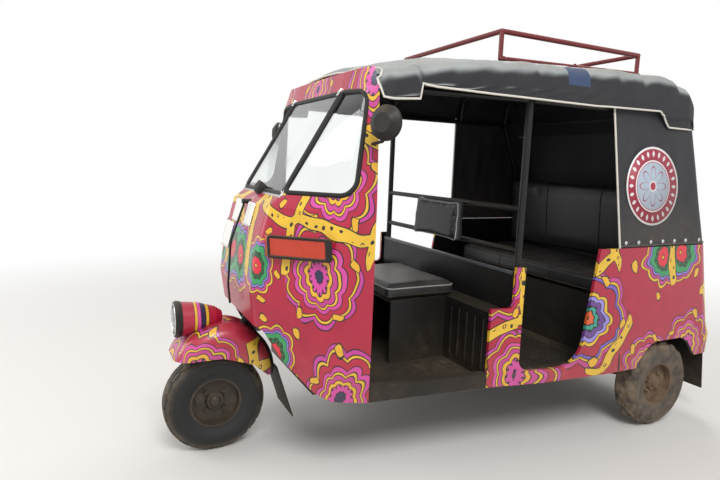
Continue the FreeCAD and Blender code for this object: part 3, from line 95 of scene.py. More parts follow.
def node(tree, kind, *inputs, to=None, stops=(), **named):
    """Add one node; return its output, or all of them where it has several.

    The kind may name the main setting too, as in Math.ADD. Inputs are plain values or other nodes' outputs,
    in the node's order or by name. Names in small letters are settings, stops make a ramp of flat bands,
    and to is the socket that takes the result.
    """
    kind, _, word = kind.partition(".")
    item = tree.nodes.new("ShaderNode" + kind)
    if word:
        setattr(item, MAIN_SETTING[kind], word)
    for name in [name for name in named if name.islower()]:
        setattr(item, name, named.pop(name))
    filled = list(zip([socket for socket in item.inputs if socket.enabled], inputs))
    for socket, value in filled + [(item.inputs[name], value) for name, value in named.items()]:
        if isinstance(value, bpy.types.NodeSocket):
            tree.links.new(value, socket)
        else:
            socket.default_value = value
    if stops:
        bands = item.color_ramp.elements
        item.color_ramp.interpolation = "CONSTANT"
        while len(bands) < len(stops):
            bands.new(0.5)
        for band, (position, code) in zip(bands, stops):
            band.position, band.color = position, colour(code)
    results = [socket for socket in item.outputs if socket.enabled]
    if to:
        tree.links.new(results[0], to)
    return results[0] if len(results) == 1 else item.outputs


def finish(name, code=None, **sockets):
    """A material whose shader has its plain values, the node helper for its tree, and the shader's sockets."""
    material = bpy.data.materials.new(name)
    material.use_nodes = True
    shader = material.node_tree.nodes["Principled BSDF"].inputs
    if code:
        shader["Base Color"].default_value = colour(code)
    for key, value in sockets.items():
        shader[key.replace("_", " ")].default_value = value
    return material, partial(node, material.node_tree), shader


def places(add):
    """Object coordinates in metres: the whole vector, and x, y and z."""
    vector = add("TexCoord")["Object"]
    return vector, *add("SeparateXYZ", vector)


print("crimson", [round(part, 3) for part in colour("B01038")])

# %% [markdown]
# Road dust is what ties the vehicle together: a pale ochre film that lies on what faces up and thickens
# towards the ground. It could be a second material over everything, but mixing it into each finish lets
# each one keep its own gloss. The mask comes from height, from noise at 4 and 30 cm, and from the normal.

# %% Dust shared by the finishes
DUST = "A08B70"
DUST_ROUGHER = 0.45      # what a full film adds to the roughness


def dusty(add, shader, base, rough, low=0.25, high=0.75, least=0.04, most=0.6, lying=0.3):
    """Mix road dust over a base colour: most below low, least above high, and more where it can lie."""
    vector, _, _, z = places(add)
    broad = add("TexNoise", vector, Scale=3.5, Detail=4.0, Roughness=0.6)[0]
    fine = add("TexNoise", vector, Scale=28.0, Detail=5.0, Roughness=0.65)[0]
    height = add("MapRange.SMOOTHSTEP", z, low, high, most, least)
    patch = add("Math.MULTIPLY", add("MapRange.SMOOTHSTEP", broad, 0.3, 0.75),
                add("MapRange.SMOOTHSTEP", fine, 0.25, 0.8))
    facing_up = add("SeparateXYZ", add("TexCoord")["Normal"])[2]
    film = add("Math.MULTIPLY_ADD", add("MapRange.SMOOTHSTEP", facing_up, 0.35, 0.95), lying, height)
    amount = add("Clamp", add("Math.MULTIPLY", film, add("Math.ADD", patch, 0.35)))
    add("Mix.RGBA", amount, base, colour(DUST), to=shader["Base Color"])
    add("Math.MULTIPLY_ADD", amount, DUST_ROUGHER, rough, to=shader["Roughness"])


print("dust", DUST)

# %% [markdown]
# The body is sheet steel under brush-painted enamel: crimson ground, medallions in black outline, and
# dotted yellow borders, as on a fairground ride. The pattern could be drawn on a map for each panel, but
# one worked out from the object's own coordinates runs unbroken over every panel joint. A Voronoi grid
# gives each medallion its centre and the distance to its neighbours. Rings, scallops and petals follow
# the distance and angle from the centre, and the yellow border follows the edge between neighbours.

# %% Rings of the painted medallions
LINE_BLACK, CRIMSON, YELLOW, GOLD = "1A0D14", "B01038", "E8B830", "EDB42C"
LINE_SHARE = 0.02        # a drawn line's width, as a share of the medallion's radius


def banded(*bands):
    """Ramp stops of flat bands (where it starts, colour), with a drawn line before each but the first."""
    stops = []
    for start, code in bands:
        if start:
            stops.append((start - LINE_SHARE, LINE_BLACK))
        stops.append((start, code))
    return stops


GREEN_MEDALLION = banded(
    (0.0, "F2C230"), (0.05, "E0263C"), (0.21, "14602E"), (0.31, "2E9B5A"), (0.45, "8C7BD0"),
    (0.52, "C83C8C"), (0.60, YELLOW), (0.67, CRIMSON))
EYE_MEDALLION = banded(
    (0.0, "20204A"), (0.13, "D845A0"), (0.30, GOLD), (0.39, "C83C8C"), (0.49, YELLOW),
    (0.55, "D845A0"), (0.64, "B8143C"), (0.78, YELLOW), (0.84, "C83C9C"), (0.93, CRIMSON))
VIOLET_MEDALLION = banded(
    (0.0, GOLD), (0.08, "E0602A"), (0.18, "2FA08A"), (0.27, "6A4090"), (0.38, "9C8CDC"),
    (0.47, YELLOW), (0.55, CRIMSON), (0.74, "7A5CC0"), (0.81, YELLOW), (0.87, "C83C8C"), (0.97, CRIMSON))
LAMP_RINGS = banded(
    (0.0, CRIMSON), (0.30, YELLOW), (0.42, "20204A"), (0.60, "D845A0"), (0.72, GOLD), (0.82, CRIMSON))
print("bands", [len(rings) for rings in (GREEN_MEDALLION, EYE_MEDALLION, VIOLET_MEDALLION, LAMP_RINGS)])

# %% [markdown]
# The pattern's own map is the side view: length and height. On the nose and the back it would smear, so
# from the corners inwards the width takes the length's place. A slow noise sways the map a few
# centimetres, as a painter's hand does, so that no two medallions come out alike.

# %% Where the medallions and borders lie
SIDE_HALF = 0.6          # from here inwards the pattern's coordinate follows the width instead
MEDALLION = 0.37         # metres between the middles of two medallions
MEDALLION_REACH = 0.2    # what 1 on the ring scales above stands for
BORDER, LINE = 0.021, 0.0045             # half the width of a yellow border, and of its brush-drawn outline
BEAD, BEAD_RADIUS, BEAD_HOLE = 0.044, 0.0085, 0.0045     # a border's dots: from one to the next, and their size
BEAD_ROW = 0.013         # dots keep within this distance of a border's middle
HAND_SWAY = 0.09


def between(add, amount, low, high):
    """1 where amount is between two values."""
    return add("Math.MULTIPLY", add("Math.GREATER_THAN", amount, low), add("Math.LESS_THAN", amount, high))


def waves(add, angle, times):
    """The cosine of a multiple of an angle: so many petals or dots to a turn."""
    return add("Math.COSINE", add("Math.MULTIPLY", angle, times))


def medallion(add, along, up):
    """Scalloped distance from the nearest middle, its angle, three numbers of its own, the border's distance."""
    flat = add("CombineXYZ", along, up)
    grid = dict(voronoi_dimensions="2D", Scale=1 / MEDALLION, Randomness=0.8)
    cell = add("TexVoronoi", flat, **grid)
    edge = add("TexVoronoi.DISTANCE_TO_EDGE", flat, **grid)
    away = add("VectorMath.SUBTRACT", flat, cell["Position"])
    across, high, _ = add("SeparateXYZ", away)
    own = add("SeparateColor", cell["Color"])
    angle = add("Math.MULTIPLY_ADD", own[0], 6.0, add("Math.ARCTAN2", high, across))
    lobe = add("Math.ABSOLUTE", waves(add, angle, 4.5))
    size = add("Math.MULTIPLY", add("Math.MULTIPLY_ADD", own[2], 0.4, 0.80), add("Math.MULTIPLY_ADD", lobe, 0.14, 0.86))
    reach = add("Math.DIVIDE", add("VectorMath.LENGTH", away), MEDALLION_REACH)
    gaps = add("TexNoise", flat, noise_dimensions="2D", Scale=2.3, Detail=0.0)[0]
    broken = add("Math.MULTIPLY", add("MapRange.SMOOTHSTEP", gaps, 0.54, 0.58), 0.05)
    border = add("Math.MULTIPLY_ADD", edge, MEDALLION, broken)
    return add("Math.DIVIDE", reach, size), angle, own, border, flat


print("medallions", MEDALLION, "m apart")

# %% [markdown]
# A sign painter works from the ground up: first the flat colours, then what lies on them, and the black
# outlines last. The nodes do the same. Each line lays one more thing over the paint so far, through a
# mask that is 1 where the thing is: which medallion it is, its dots and leaves, the border, its beads.

# %% The painted pattern


def pattern(add, vector, x, y, z):
    """The painted pattern's colour."""
    black = colour(LINE_BLACK)
    inward = add("Math.SUBTRACT", SIDE_HALF, add("Math.ABSOLUTE", y))
    along = add("Math.MULTIPLY_ADD", add("Math.SIGN", x), inward, x)
    hand = add("SeparateColor", add("TexNoise", vector, Scale=6.0, Detail=1.0)["Color"])
    along = add("Math.MULTIPLY_ADD", hand[0], HAND_SWAY, along)
    up = add("Math.MULTIPLY_ADD", hand[1], HAND_SWAY, z)
    ring, angle, own, border, flat = medallion(add, along, up)

    green, eye, violet = (add("ValToRGB", ring, stops=stops)[0]
                          for stops in (GREEN_MEDALLION, EYE_MEDALLION, VIOLET_MEDALLION))
    paint = add("Mix.RGBA", add("Math.GREATER_THAN", own[1], 0.42), eye, green)
    paint = add("Mix.RGBA", add("Math.GREATER_THAN", own[1], 0.74), paint, violet)

    # dots on the dark ring, and pointed yellow leaves on the crimson outside the rings
    dots = add("Math.GREATER_THAN", waves(add, angle, 15.0), 0.35)
    paint = add("Mix.RGBA", add("Math.MULTIPLY", between(add, ring, 0.235, 0.285), dots), paint, black)
    off_ring = add("Math.ABSOLUTE", add("Math.SUBTRACT", ring, 0.84))
    leaf = add("Math.MULTIPLY_ADD", off_ring, -2.6, waves(add, angle, 5.0))
    paint = add("Mix.RGBA", add("Math.GREATER_THAN", leaf, 0.70), paint, black)
    paint = add("Mix.RGBA", add("Math.GREATER_THAN", leaf, 0.78), paint, colour(GOLD))

    # the border: a drawn line, yellow, and a row of dots that are full or hollow
    paint = add("Mix.RGBA", add("Math.LESS_THAN", border, BORDER + LINE), paint, black)
    paint = add("Mix.RGBA", add("Math.LESS_THAN", border, BORDER), paint, colour("EBBE34"))
    bead = add("TexVoronoi", flat, voronoi_dimensions="2D", Scale=1 / BEAD, Randomness=0.3)
    away = add("Math.MULTIPLY", bead["Distance"], BEAD)
    full = add("Math.GREATER_THAN", add("SeparateColor", bead["Color"])[0], 0.45)
    hole = add("Math.MULTIPLY_ADD", full, -0.01, BEAD_HOLE)
    dot = add("Math.MULTIPLY", between(add, away, hole, BEAD_RADIUS), add("Math.LESS_THAN", border, BEAD_ROW))
    return add("Mix.RGBA", dot, paint, black)


def sheet_inside(add, x, y):
    """1 where the surface looks at the middle of the vehicle: the sheet's inner side, which is made near-black."""
    forward, left, _ = add("SeparateXYZ", add("TexCoord")["Normal"])
    sideways = add("Math.LESS_THAN", add("Math.MULTIPLY", left, add("Math.SIGN", y)), -0.3)
    lengthways = add("Math.LESS_THAN", add("Math.MULTIPLY", forward, add("Math.SIGN", x)), -0.6)
    ends = add("Math.GREATER_THAN", add("Math.ABSOLUTE", x), 0.5)
    return add("Math.MAXIMUM", sideways, add("Math.MULTIPLY", lengthways, ends))


print("dots", BEAD, "m apart, on borders", 2 * BORDER, "m wide")

# %% [markdown]
# Three finishes share the enamel. The windscreen frame is black below its painted brow, and the headlamp
# shell has plain rings, which a lathe-like shape gets from one coordinate. The brush marks give the eye
# broken, streaky highlights, and the thin clear coat keeps them bright. Road grime makes it uneven.

# %% Brush-painted enamel on sheet steel
FRAME_FOOT, BROW_FOOT = 1.10, 1.492      # the windscreen frame is black between these heights
INSIDE_BLACK, FRAME_BLACK = "1A1618", "121213"


def painted_enamel(name, black_from=None, ringed=None):
    """Pattern on steel; black_from: x ahead of which, under the brow, it is black; ringed: x range of plain rings."""
    material, add, shader = finish(name, IOR=1.5, Coat_Weight=0.3, Coat_Roughness=0.14)
    vector, x, y, z = places(add)
    if ringed:
        paint = add("ValToRGB", add("MapRange.SMOOTHSTEP", x, *ringed), stops=LAMP_RINGS)[0]
    else:
        paint = add("Mix.RGBA", sheet_inside(add, x, y), pattern(add, vector, x, y, z), colour(INSIDE_BLACK))
    if black_from:
        in_front = add("Math.GREATER_THAN", x, black_from)
        frame_part = add("Math.MULTIPLY", in_front, between(add, z, FRAME_FOOT, BROW_FOOT))
        paint = add("Mix.RGBA", frame_part, paint, colour(FRAME_BLACK))
    strokes = add("TexNoise", vector, Scale=90.0, Detail=3.0)[0]
    shade = add("TexNoise", vector, Scale=14.0, Detail=3.0)[0]
    worn = add("HueSaturation", Value=add("Math.MULTIPLY_ADD", shade, 0.34, 0.74), Color=paint)
    dusty(add, shader, worn, add("Math.MULTIPLY_ADD", strokes, 0.2, 0.28), 0.3, 0.62, 0.01, 0.22, 0.08)
    add("Bump", Distance=0.0004, Height=strokes, to=shader["Normal"])
    return material


body_paint = painted_enamel("brush_painted_enamel")
screen_paint = painted_enamel("painted_windscreen_frame", black_from=0.726)
lamp_paint = painted_enamel("painted_headlamp_shell", ringed=(1.08, 1.242))
print("enamel nodes", len(body_paint.node_tree.nodes))

# %% [markdown]
# The other hard finishes are simpler. Black enamel on the chassis and pressed wheels, dark red enamel on
# the rack, cast aluminium, rusty exhaust steel, moulded rubber, glass and lamp plastics each start from
# their real index of refraction and roughness, then get noise at the size of their real grain.

# %% One recipe for the hard finishes
MATT_BLACK = 0.03         # blacks darker than this are matt and reflect less at their surface
MATT_LEVEL = 0.3


def plain(name, code, rough, grain_mm, relief_mm, dust=(0.2, 0.8, 0.03, 0.4, 0.15), vary=0.25, **sockets):
    """A finish of one colour, unevenly worn, with a grain of a real size and road dust over it."""
    if Vector(colour(code)[:3]).length < MATT_BLACK:
        sockets.setdefault("Specular_IOR_Level", MATT_LEVEL)
    material, add, shader = finish(name, **sockets)
    vector = places(add)[0]
    grain = add("TexNoise", vector, Scale=1000 / grain_mm, Detail=3.0)[0]
    cloud = add("TexNoise", vector, Scale=9.0, Detail=5.0, Roughness=0.6)[0]
    tone = add("HueSaturation", Color=colour(code), Value=add("Math.MULTIPLY_ADD", cloud, 2 * vary, 1 - vary))
    dusty(add, shader, tone, add("Math.MULTIPLY_ADD", grain, 0.1, rough - 0.05), *dust)
    add("Bump", Distance=relief_mm / 1000, Height=grain, to=shader["Normal"])
    return material


print("blacks under", MATT_BLACK, "are matt")

# %% [markdown]
# Painted and bare metal. Enamel is a glossy varnish full of pigment, so it reflects like plastic and is
# not metallic. Bare metal tints its own reflection. Each line gives a name, a colour, a roughness, the
# grain's size and depth in millimetres, and where dust lies on it.

# %% Metal finishes
# stove enamel: deep black with soft, slightly uneven highlights
black_steel = plain("black_enamelled_steel", "161617", 0.38, 6, 0.1, (0.15, 0.6, 0.02, 0.35, 0.12), IOR=1.5)
# brushed enamel on the rack: dark red, glossy at the edges and dull with dust on top
rack_paint = plain("dark_red_enamel", "6E1519", 0.34, 5, 0.15, (0.2, 1.2, 0.03, 0.5, 0.35), IOR=1.5)
# pressed wheel rims: satin black paint at the front, rust brown under dust and without gloss at the back
rim_black = plain("black_rim_enamel", "242121", 0.45, 4, 0.2, (0.05, 0.5, 0.05, 0.28, 0.1), IOR=1.5)
rim_rust = plain("rusted_rim_steel", "4C352A", 0.75, 3, 0.5, (0.05, 0.5, 0.25, 0.6, 0.2), vary=0.5, IOR=1.5)
# sand-cast aluminium: grey, matt, grainy
cast_alloy = plain("sand_cast_aluminium", "8B8883", 0.55, 2.5, 0.4, (0.1, 0.6, 0.1, 0.5, 0.4), Metallic=0.85)
# exhaust steel: blotched brown scale that hardly shines
rusty_exhaust = plain("heat_rusted_steel", "54392B", 0.8, 3, 0.6, vary=0.5, Metallic=0.35)
# floor paint: black, scuffed dull and cloudy by feet
floor_paint = plain("scuffed_black_floor_paint", "151516", 0.6, 8, 0.4, (0.2, 0.7, 0.03, 0.16, 0.12),
                    vary=0.4, IOR=1.5)
# a painted highlight: a pale blue-grey strip along an edge, smoother than the paint round it
painted_edge_highlight = plain("edge_highlight_steel", "4A4E54", 0.35, 6, 0.1, (0.2, 1.0, 0.03, 0.2, 0.1), vary=0.3, IOR=1.5)
# sprayed plate enamel: clean white with an even gloss
white_enamel = plain("white_plate_enamel", "F2F0EC", 0.3, 5, 0.05, (0.2, 1.2, 0.02, 0.3, 0.1), vary=0.06, IOR=1.5)
# chrome plate: small sharp reflections, a little veiled by dust
chrome = plain("chromed_steel", "D8D8D8", 0.12, 10, 0.02, (0.1, 0.8, 0.05, 0.3, 0.2), vary=0.05, Metallic=1.0)
# drawn aluminium: a pale satin line that catches the sky
bright_strip = plain("drawn_aluminium_strip", "B9BABA", 0.3, 8, 0.05, (0.2, 1.4, 0.1, 0.3, 0.3),
                     vary=0.15, Metallic=0.9)
# silvered glass: a metal with almost no roughness, so it shows a sharp picture
mirror_silver = finish("silvered_mirror", "E8ECEE", Metallic=1.0, Roughness=0.03)[0]
print("metal finishes", len(bpy.data.materials))

# %% [markdown]
# Plastics and rubber are pigment in a clear resin or gum: all reflect a little, and their grain and
# roughness tell them apart. Rubber is the dullest, vinyl is satin, and moulded plastic has fine sparkle.

# %% Plastic, rubber and vinyl finishes
# moulded ABS: grained black with small soft highlights
black_plastic = plain("moulded_black_plastic", "19191A", 0.42, 1.6, 0.15, (0.1, 1.0, 0.05, 0.4, 0.35), IOR=1.46)
# calendered sheet rubber: flat black, wavy, dusty at its foot
flap_rubber = plain("sheet_rubber", "131315", 0.6, 4, 0.4, (0.02, 0.5, 0.02, 0.22, 0.1), IOR=1.52)
# extruded rubber: smoother, so its round back shows one thin line of light
seal_rubber = plain("extruded_rubber_seal", "121213", 0.5, 3, 0.1, (0.2, 1.0, 0.02, 0.3, 0.1), IOR=1.52)
# vinyl piping: an off-white or grey satin cord, soiled in its lower parts
white_piping = plain("white_vinyl_piping", "DAD6CC", 0.5, 2, 0.2, (0.3, 1.6, 0.05, 0.4, 0.2), vary=0.1, IOR=1.52)
grey_piping = plain("grey_vinyl_piping", "9B9996", 0.5, 2, 0.2, (0.3, 1.6, 0.1, 0.3, 0.2), vary=0.1, IOR=1.52)
# embossed seat vinyl: black leather grain that shines where it is tight
seat_vinyl = plain("embossed_seat_vinyl", "1D2026", 0.36, 2.4, 0.3, (0.3, 1.1, 0.02, 0.12, 0.08), IOR=1.5,
                   Specular_IOR_Level=0.5)
print("with plastics", len(bpy.data.materials))

# %% [markdown]
# Glass and lamp plastics let light through. What tells old panes from new is their film of dust, so the
# film is a noise that whitens and roughens them in patches. Lamp glass is pressed in flutes that spread
# the beam. They could be modelled, but a sine in the bump is enough for flutes 8 mm wide.

# %% Glass and lamp plastics
FILM = "B9AD9A"


def see_through(name, code, rough, weight=1.0, dust=0.05, ribs=None, depth=0.0006, **sockets):
    """Glass or clear lamp plastic with a thin uneven film of dust; ribs = (axis, metres) flutes it."""
    material, add, shader = finish(name, Transmission_Weight=weight, **sockets)
    vector, *axes = places(add)
    film = add("MapRange.SMOOTHSTEP", add("TexNoise", vector, Scale=6.0, Detail=5.0)[0], 0.3, 0.9)
    film = add("Math.MULTIPLY", film, dust)
    add("Mix.RGBA", film, colour(code), colour(FILM), to=shader["Base Color"])
    add("Math.ADD", rough, film, to=shader["Roughness"])
    if ribs:
        wave = add("Math.SINE", add("Math.MULTIPLY", axes[ribs[0]], math.tau / ribs[1]))
        add("Bump", Distance=depth, Height=wave, to=shader["Normal"])
    return material


# float glass: nearly unseen, with a pale veil where dust sits
window_glass = see_through("dusty_window_glass", "F4F8F6", 0.0, dust=0.1, IOR=1.45)
# pressed lamp glass: upright flutes break the bright bowl behind it into stripes
lamp_glass = see_through("pressed_lamp_glass", "EDF2F2", 0.04, ribs=(1, 0.008), depth=0.00025, IOR=1.5)
# acrylic lamp lenses: deep colour with light in its depth, under a glossy fluted face
amber_lens = see_through("amber_lamp_plastic", "C83202", 0.16, 0.15, ribs=(0, 0.007), IOR=1.49, Coat_Weight=0.3)
red_lens = see_through("red_lamp_plastic", "A80E10", 0.16, 0.35, ribs=(1, 0.008), IOR=1.49, Coat_Weight=0.3)
print("hard finishes", len(bpy.data.materials))

# %% [markdown]
# Tyres are carbon-black rubber. New rubber is dark and satin; this one has driven through dry clay, so
# the tread and the shoulders are dusted brown, most at the back. The dust follows the distance from the
# wheel's own axle, so it stays on the tyre as the wheel turns.

# %% Tyre rubber
WHEELS = {
    "front": ("front_wheel", Vector((1.1095, 0, 0.208))),
    "rear_left": ("rear_wheel_left", Vector((-0.8905, 0.575, 0.208))),
    "rear_right": ("rear_wheel_right", Vector((-0.8905, -0.575, 0.208))),
}
CLAY = "8D7B66"


def tyre_finish(name, axle, code, clay):
    """Dull black rubber with a fine moulded grain; clay, from the shoulder outwards, takes its last gloss."""
    material, add, shader = finish(name, IOR=1.52)
    vector = places(add)[0]
    reach = add("VectorMath.MULTIPLY", add("VectorMath.SUBTRACT", vector, (axle.x, 0, axle.z)), (1, 0, 1))
    cloud = add("TexNoise", vector, Scale=16.0, Detail=6.0, Roughness=0.65)[0]
    grain = add("TexNoise", vector, Scale=400.0, Detail=2.0)[0]
    tread = add("MapRange.SMOOTHSTEP", add("VectorMath.LENGTH", reach), 0.165, 0.207)
    amount = add("Clamp", add("Math.MULTIPLY", add("Math.MULTIPLY_ADD", tread, 0.5, clay),
                              add("MapRange.SMOOTHSTEP", cloud, 0.25, 0.7)))
    add("Mix.RGBA", amount, colour(code), colour(CLAY), to=shader["Base Color"])
    add("Math.MULTIPLY_ADD", amount, 0.35, 0.55, to=shader["Roughness"])
    add("Bump", Distance=0.0003, Height=grain, to=shader["Normal"])
    return material


front_rubber = tyre_finish("front_tyre_rubber", WHEELS["front"][1], "131313", 0.0)
rear_rubber = tyre_finish("rear_tyre_rubber", WHEELS["rear_left"][1], "262320", 0.5)
print("tyre finishes", front_rubber.name, rear_rubber.name)

# %% [markdown]
# The hood is coated canvas: a cotton weave under black vinyl. From here the weave, 1.2 mm between
# threads, would be too fine to show, so it is drawn at 3 mm. What faces up is painted paler as a highlight,
# dust lies in a pale band along the top, and one repair patch is a smoother, bluer cloth.

# %% Coated canvas
THREAD = 0.003
PATCH_X, PATCH_Z, PATCH_BLUE = (-0.295, -0.175), (1.56, 1.69), "2F4568"


def canvas_finish(name, code, sheen_code, patch=False):
    """Satin black cloth whose fine checks of light come from the weave, with a painted highlight where it faces up."""
    material, add, shader = finish(name, IOR=1.5, Specular_IOR_Level=0.35)
    vector, x, y, z = places(add)
    warp, weft = (add("Math.SINE", add("Math.MULTIPLY", run, math.tau / THREAD)) for run in (x, add("Math.ADD", z, y)))
    cloud = add("TexNoise", vector, Scale=5.0, Detail=6.0, Roughness=0.62)[0]
    facing_up = add("SeparateXYZ", add("TexCoord")["Normal"])[2]
    # painted highlight: what faces up is mixed towards a paler grey, standing in for sheen from the sky
    painted_sheen = add("Math.MULTIPLY", add("MapRange.SMOOTHSTEP", facing_up, 0.2, 0.6), add("Math.ADD", cloud, 0.4))
    tone = add("Mix.RGBA", painted_sheen, colour(code), colour(sheen_code))
    if patch:
        cloth = add("Math.MULTIPLY", between(add, x, *PATCH_X), between(add, z, *PATCH_Z))
        cloth = add("Math.MULTIPLY", cloth, add("Math.GREATER_THAN", y, 0.3))
        tone = add("Mix.RGBA", cloth, tone, colour(PATCH_BLUE))
    dusty(add, shader, tone, add("Math.MULTIPLY_ADD", cloud, 0.15, 0.5), 0.9, 1.2, 0.05, 0.2, 0.3)
    add("Bump", Distance=0.0003, Height=add("Math.MULTIPLY", warp, weft), to=shader["Normal"])
    return material


# each second colour is the painted highlight on what faces up
hood_canvas = canvas_finish("vinyl_coated_canvas", "1A1D25", "A2A8A8", patch=True)
side_canvas = canvas_finish("vinyl_coated_side_canvas", "272A31", "4A4E52")
print("canvas", hood_canvas.name, side_canvas.name)

# %% [markdown]
# Each CAD solid that stays is given its finish through its material slots. Its mesh isn't touched.

# %% Finishes on the CAD solids
FINISHES = {
    body_paint: ("front_cowl", "body_side_left", "body_side_right", "rear_panel",
                 "engine_hatch", "front_mudguard"),
    lamp_paint: ("headlamp_shell",),
    screen_paint: ("windscreen_frame",),
    floor_paint: ("floor_pan", "bulkhead", "rear_inner_sheet"),
    black_plastic: ("dashboard", "mirrors"),
    flap_rubber: ("front_flap", "rear_mudflaps"),
    rack_paint: ("roof_rack",),
    front_rubber: ("front_tyre",),
    rear_rubber: ("rear_left_tyre", "rear_right_tyre"),
    rim_black: ("front_rim",),
    rim_rust: ("rear_left_rim", "rear_right_rim"),
    window_glass: ("cowl_glass",),
    lamp_glass: ("headlamp_lens",),
    black_steel: ("steering_fork", "handlebar", "front_link", "front_shock", "chassis_frame", "rear_bumper",
                  "partition", "driver_seat_stand", "centre_frame", "roof_frame", "rear_arms", "rear_shocks",
                  "drive_shafts", "wiper", "headlamp_rim"),
    amber_lens: ("indicator_lamps",),
    red_lens: ("tail_lamps",),
    cast_alloy: ("engine_block",),
    rusty_exhaust: ("silencer",),
    hood_canvas: ("canopy_roof",),
    side_canvas: ("canopy_rear",),
    seat_vinyl: ("driver_seat", "driver_backrest", "passenger_seat", "passenger_backrest"),
}
for material, names in FINISHES.items():
    for name in names:
        if not cad[name].material_slots:
            cad[name].data.materials.append(material)
        for place in cad[name].material_slots:
            place.material = material
print("unfinished", sorted(set(cad) - {name for names in FINISHES.values() for name in names}))

# %% [markdown]
# From here on pieces are added. Each starts as a bmesh, becomes an object at the origin with its place in
# its mesh, rides on the body it belongs to and carries its finish. Parts that lie on
# the CAD metal find it by casting rays at a merged copy, so they follow it wherever it curves.

# %% Helpers that read the CAD solids and keep a piece
SHARP, CLOTH_SHARP = math.radians(38), math.radians(60)      # edges steeper than this stay crisp
FORWARD, LEFT, UP = (Vector(way) for way in ((1, 0, 0), (0, 1, 0), (0, 0, 1)))
SIDES = (-1, 1)          # right and left
CLOSE = 0.00001          # points nearer than this are one


def opened(mesh):
    """A mesh as a bmesh."""
    shape = bmesh.new()
    shape.from_mesh(mesh)
    return shape


def mended(shape, close=CLOSE):
    """Doubled points merged, and the faces turned outwards."""
    bmesh.ops.remove_doubles(shape, verts=shape.verts, dist=close)
    bmesh.ops.recalc_face_normals(shape, faces=shape.faces)
    return shape


def merged(name):
    """A copy of a CAD solid as one closed bmesh."""
    return mended(opened(cad[name].data), 0.00002)


def surface(shape):
    """What rays can be cast at, made from a bmesh that is then dropped."""
    tree = BVHTree.FromBMesh(shape)
    shape.free()
    return tree


def onto(tree, start, way, reach=0.5):
    """Where a ray meets a surface, or the surface's nearest point to where it should."""
    hit = tree.ray_cast(start, way)[0]
    return hit or tree.find_nearest(start + Vector(way).normalized() * reach)[0]


def piece(name, shape, material, body="root", sharp=SHARP, replaces=()):
    """Keep a bmesh as a piece of the vehicle."""
    mesh = bpy.data.meshes.new(name)
    shape.to_mesh(mesh)
    shape.free()
    mesh.materials.append(material)
    mesh.shade_smooth()
    mesh.set_sharp_from_angle(angle=sharp)
    item = bpy.data.objects.new(name, mesh)
    scene.collection.objects.link(item)
    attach(item, body)
    if replaces:
        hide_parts(*replaces)
    print(name, len(mesh.polygons), "faces")
    return item


def thicken(item, thickness):
    """Give a sheet its thickness, inwards, in a modifier."""
    layer = item.modifiers.new("thickness", "SOLIDIFY")
    layer.thickness, layer.offset = thickness, -1.0


def blend(low, high, share):
    """What lies a share of the way from low to high."""
    return low + (high - low) * share


def middle_of(points):
    """The average of some points."""
    return sum((Vector(point) for point in points), Vector()) / len(points)


def limited(share):
    """A share kept from 0 to 1."""
    return min(max(share, 0), 1)


print("edges over", round(math.degrees(SHARP)), "degrees stay crisp")

# %% [markdown]
# Most small parts are a block, a rod or a turned form. Each of these is one bmesh operator with its bevel
# and its move, so they are made once here and used by name below. A spun shape can come out inside out,
# so its doubled points are merged and its faces are turned outwards at the end.

# %% Blocks, rods and turned forms


def aimed(place, way):
    """The move that puts a shape made along Z at a place, pointing a way."""
    return Matrix.Translation(place) @ Vector(way).to_track_quat("Z", "Y").to_matrix().to_4x4()


def block(shape, low, high, round_off=0.002, turn=None, segments=2):
    """A bevelled box between two corners, added to a bmesh; turn moves it afterwards."""
    low, high = Vector(low), Vector(high)
    made = bmesh.ops.create_cube(shape, size=1.0)["verts"]
    bmesh.ops.scale(shape, verts=made, vec=high - low)
    bmesh.ops.translate(shape, verts=made, vec=(low + high) / 2)
    edges = list({edge for point in made for edge in point.link_edges})
    made = bmesh.ops.bevel(shape, geom=edges, offset=round_off, affect="EDGES", segments=segments,
                           profile=0.5, material=-1)["verts"] + [v for v in made if v.is_valid]
    if turn:
        bmesh.ops.transform(shape, matrix=turn, verts=list(set(made)))


def rod(shape, start, end, radius, sides=20, end_radius=None, round_off=0.0):
    """A closed cylinder or cone between two points, added to a bmesh."""
    start, end = Vector(start), Vector(end)
    made = bmesh.ops.create_cone(shape, cap_ends=True, segments=sides, radius1=radius,
                                 radius2=radius if end_radius is None else end_radius,
                                 depth=(end - start).length, matrix=aimed((start + end) / 2, end - start))["verts"]
    if round_off:
        rims = [e for e in {e for v in made for e in v.link_edges} if any(len(f.verts) > 4 for f in e.link_faces)]
        bmesh.ops.bevel(shape, geom=rims, offset=round_off, affect="EDGES", segments=2, profile=0.5, material=-1)


def lathe(outline, place, way, sides=64):
    """Spin an outline of (radius, along) round an axis through a place."""
    shape = bmesh.new()
    points = [shape.verts.new((radius, 0, along)) for radius, along in outline]
    edges = [shape.edges.new(pair) for pair in zip(points, points[1:])]
    bmesh.ops.spin(shape, geom=points + edges, angle=math.tau, steps=sides, use_merge=True,
                   axis=UP, cent=(0, 0, 0))
    bmesh.ops.transform(shape, verts=shape.verts, matrix=aimed(place, way))
    return mended(shape)


trial = bmesh.new()
block(trial, (0, 0, 0), (1, 1, 1))
print("a bevelled block has", len(trial.faces), "faces")
trial.free()

# %% [markdown]
# Piping, seams, rims and seals are all cords. A bmesh could sweep a ring along a line, but a curve with a
# bevel keeps its section even round every bend, so a curve is made, turned into a mesh and dropped. Sheets
# start as a grid whose points are moved, and what stands on both sides of the vehicle is mirrored.

# %% Cords, sheets and mirror images


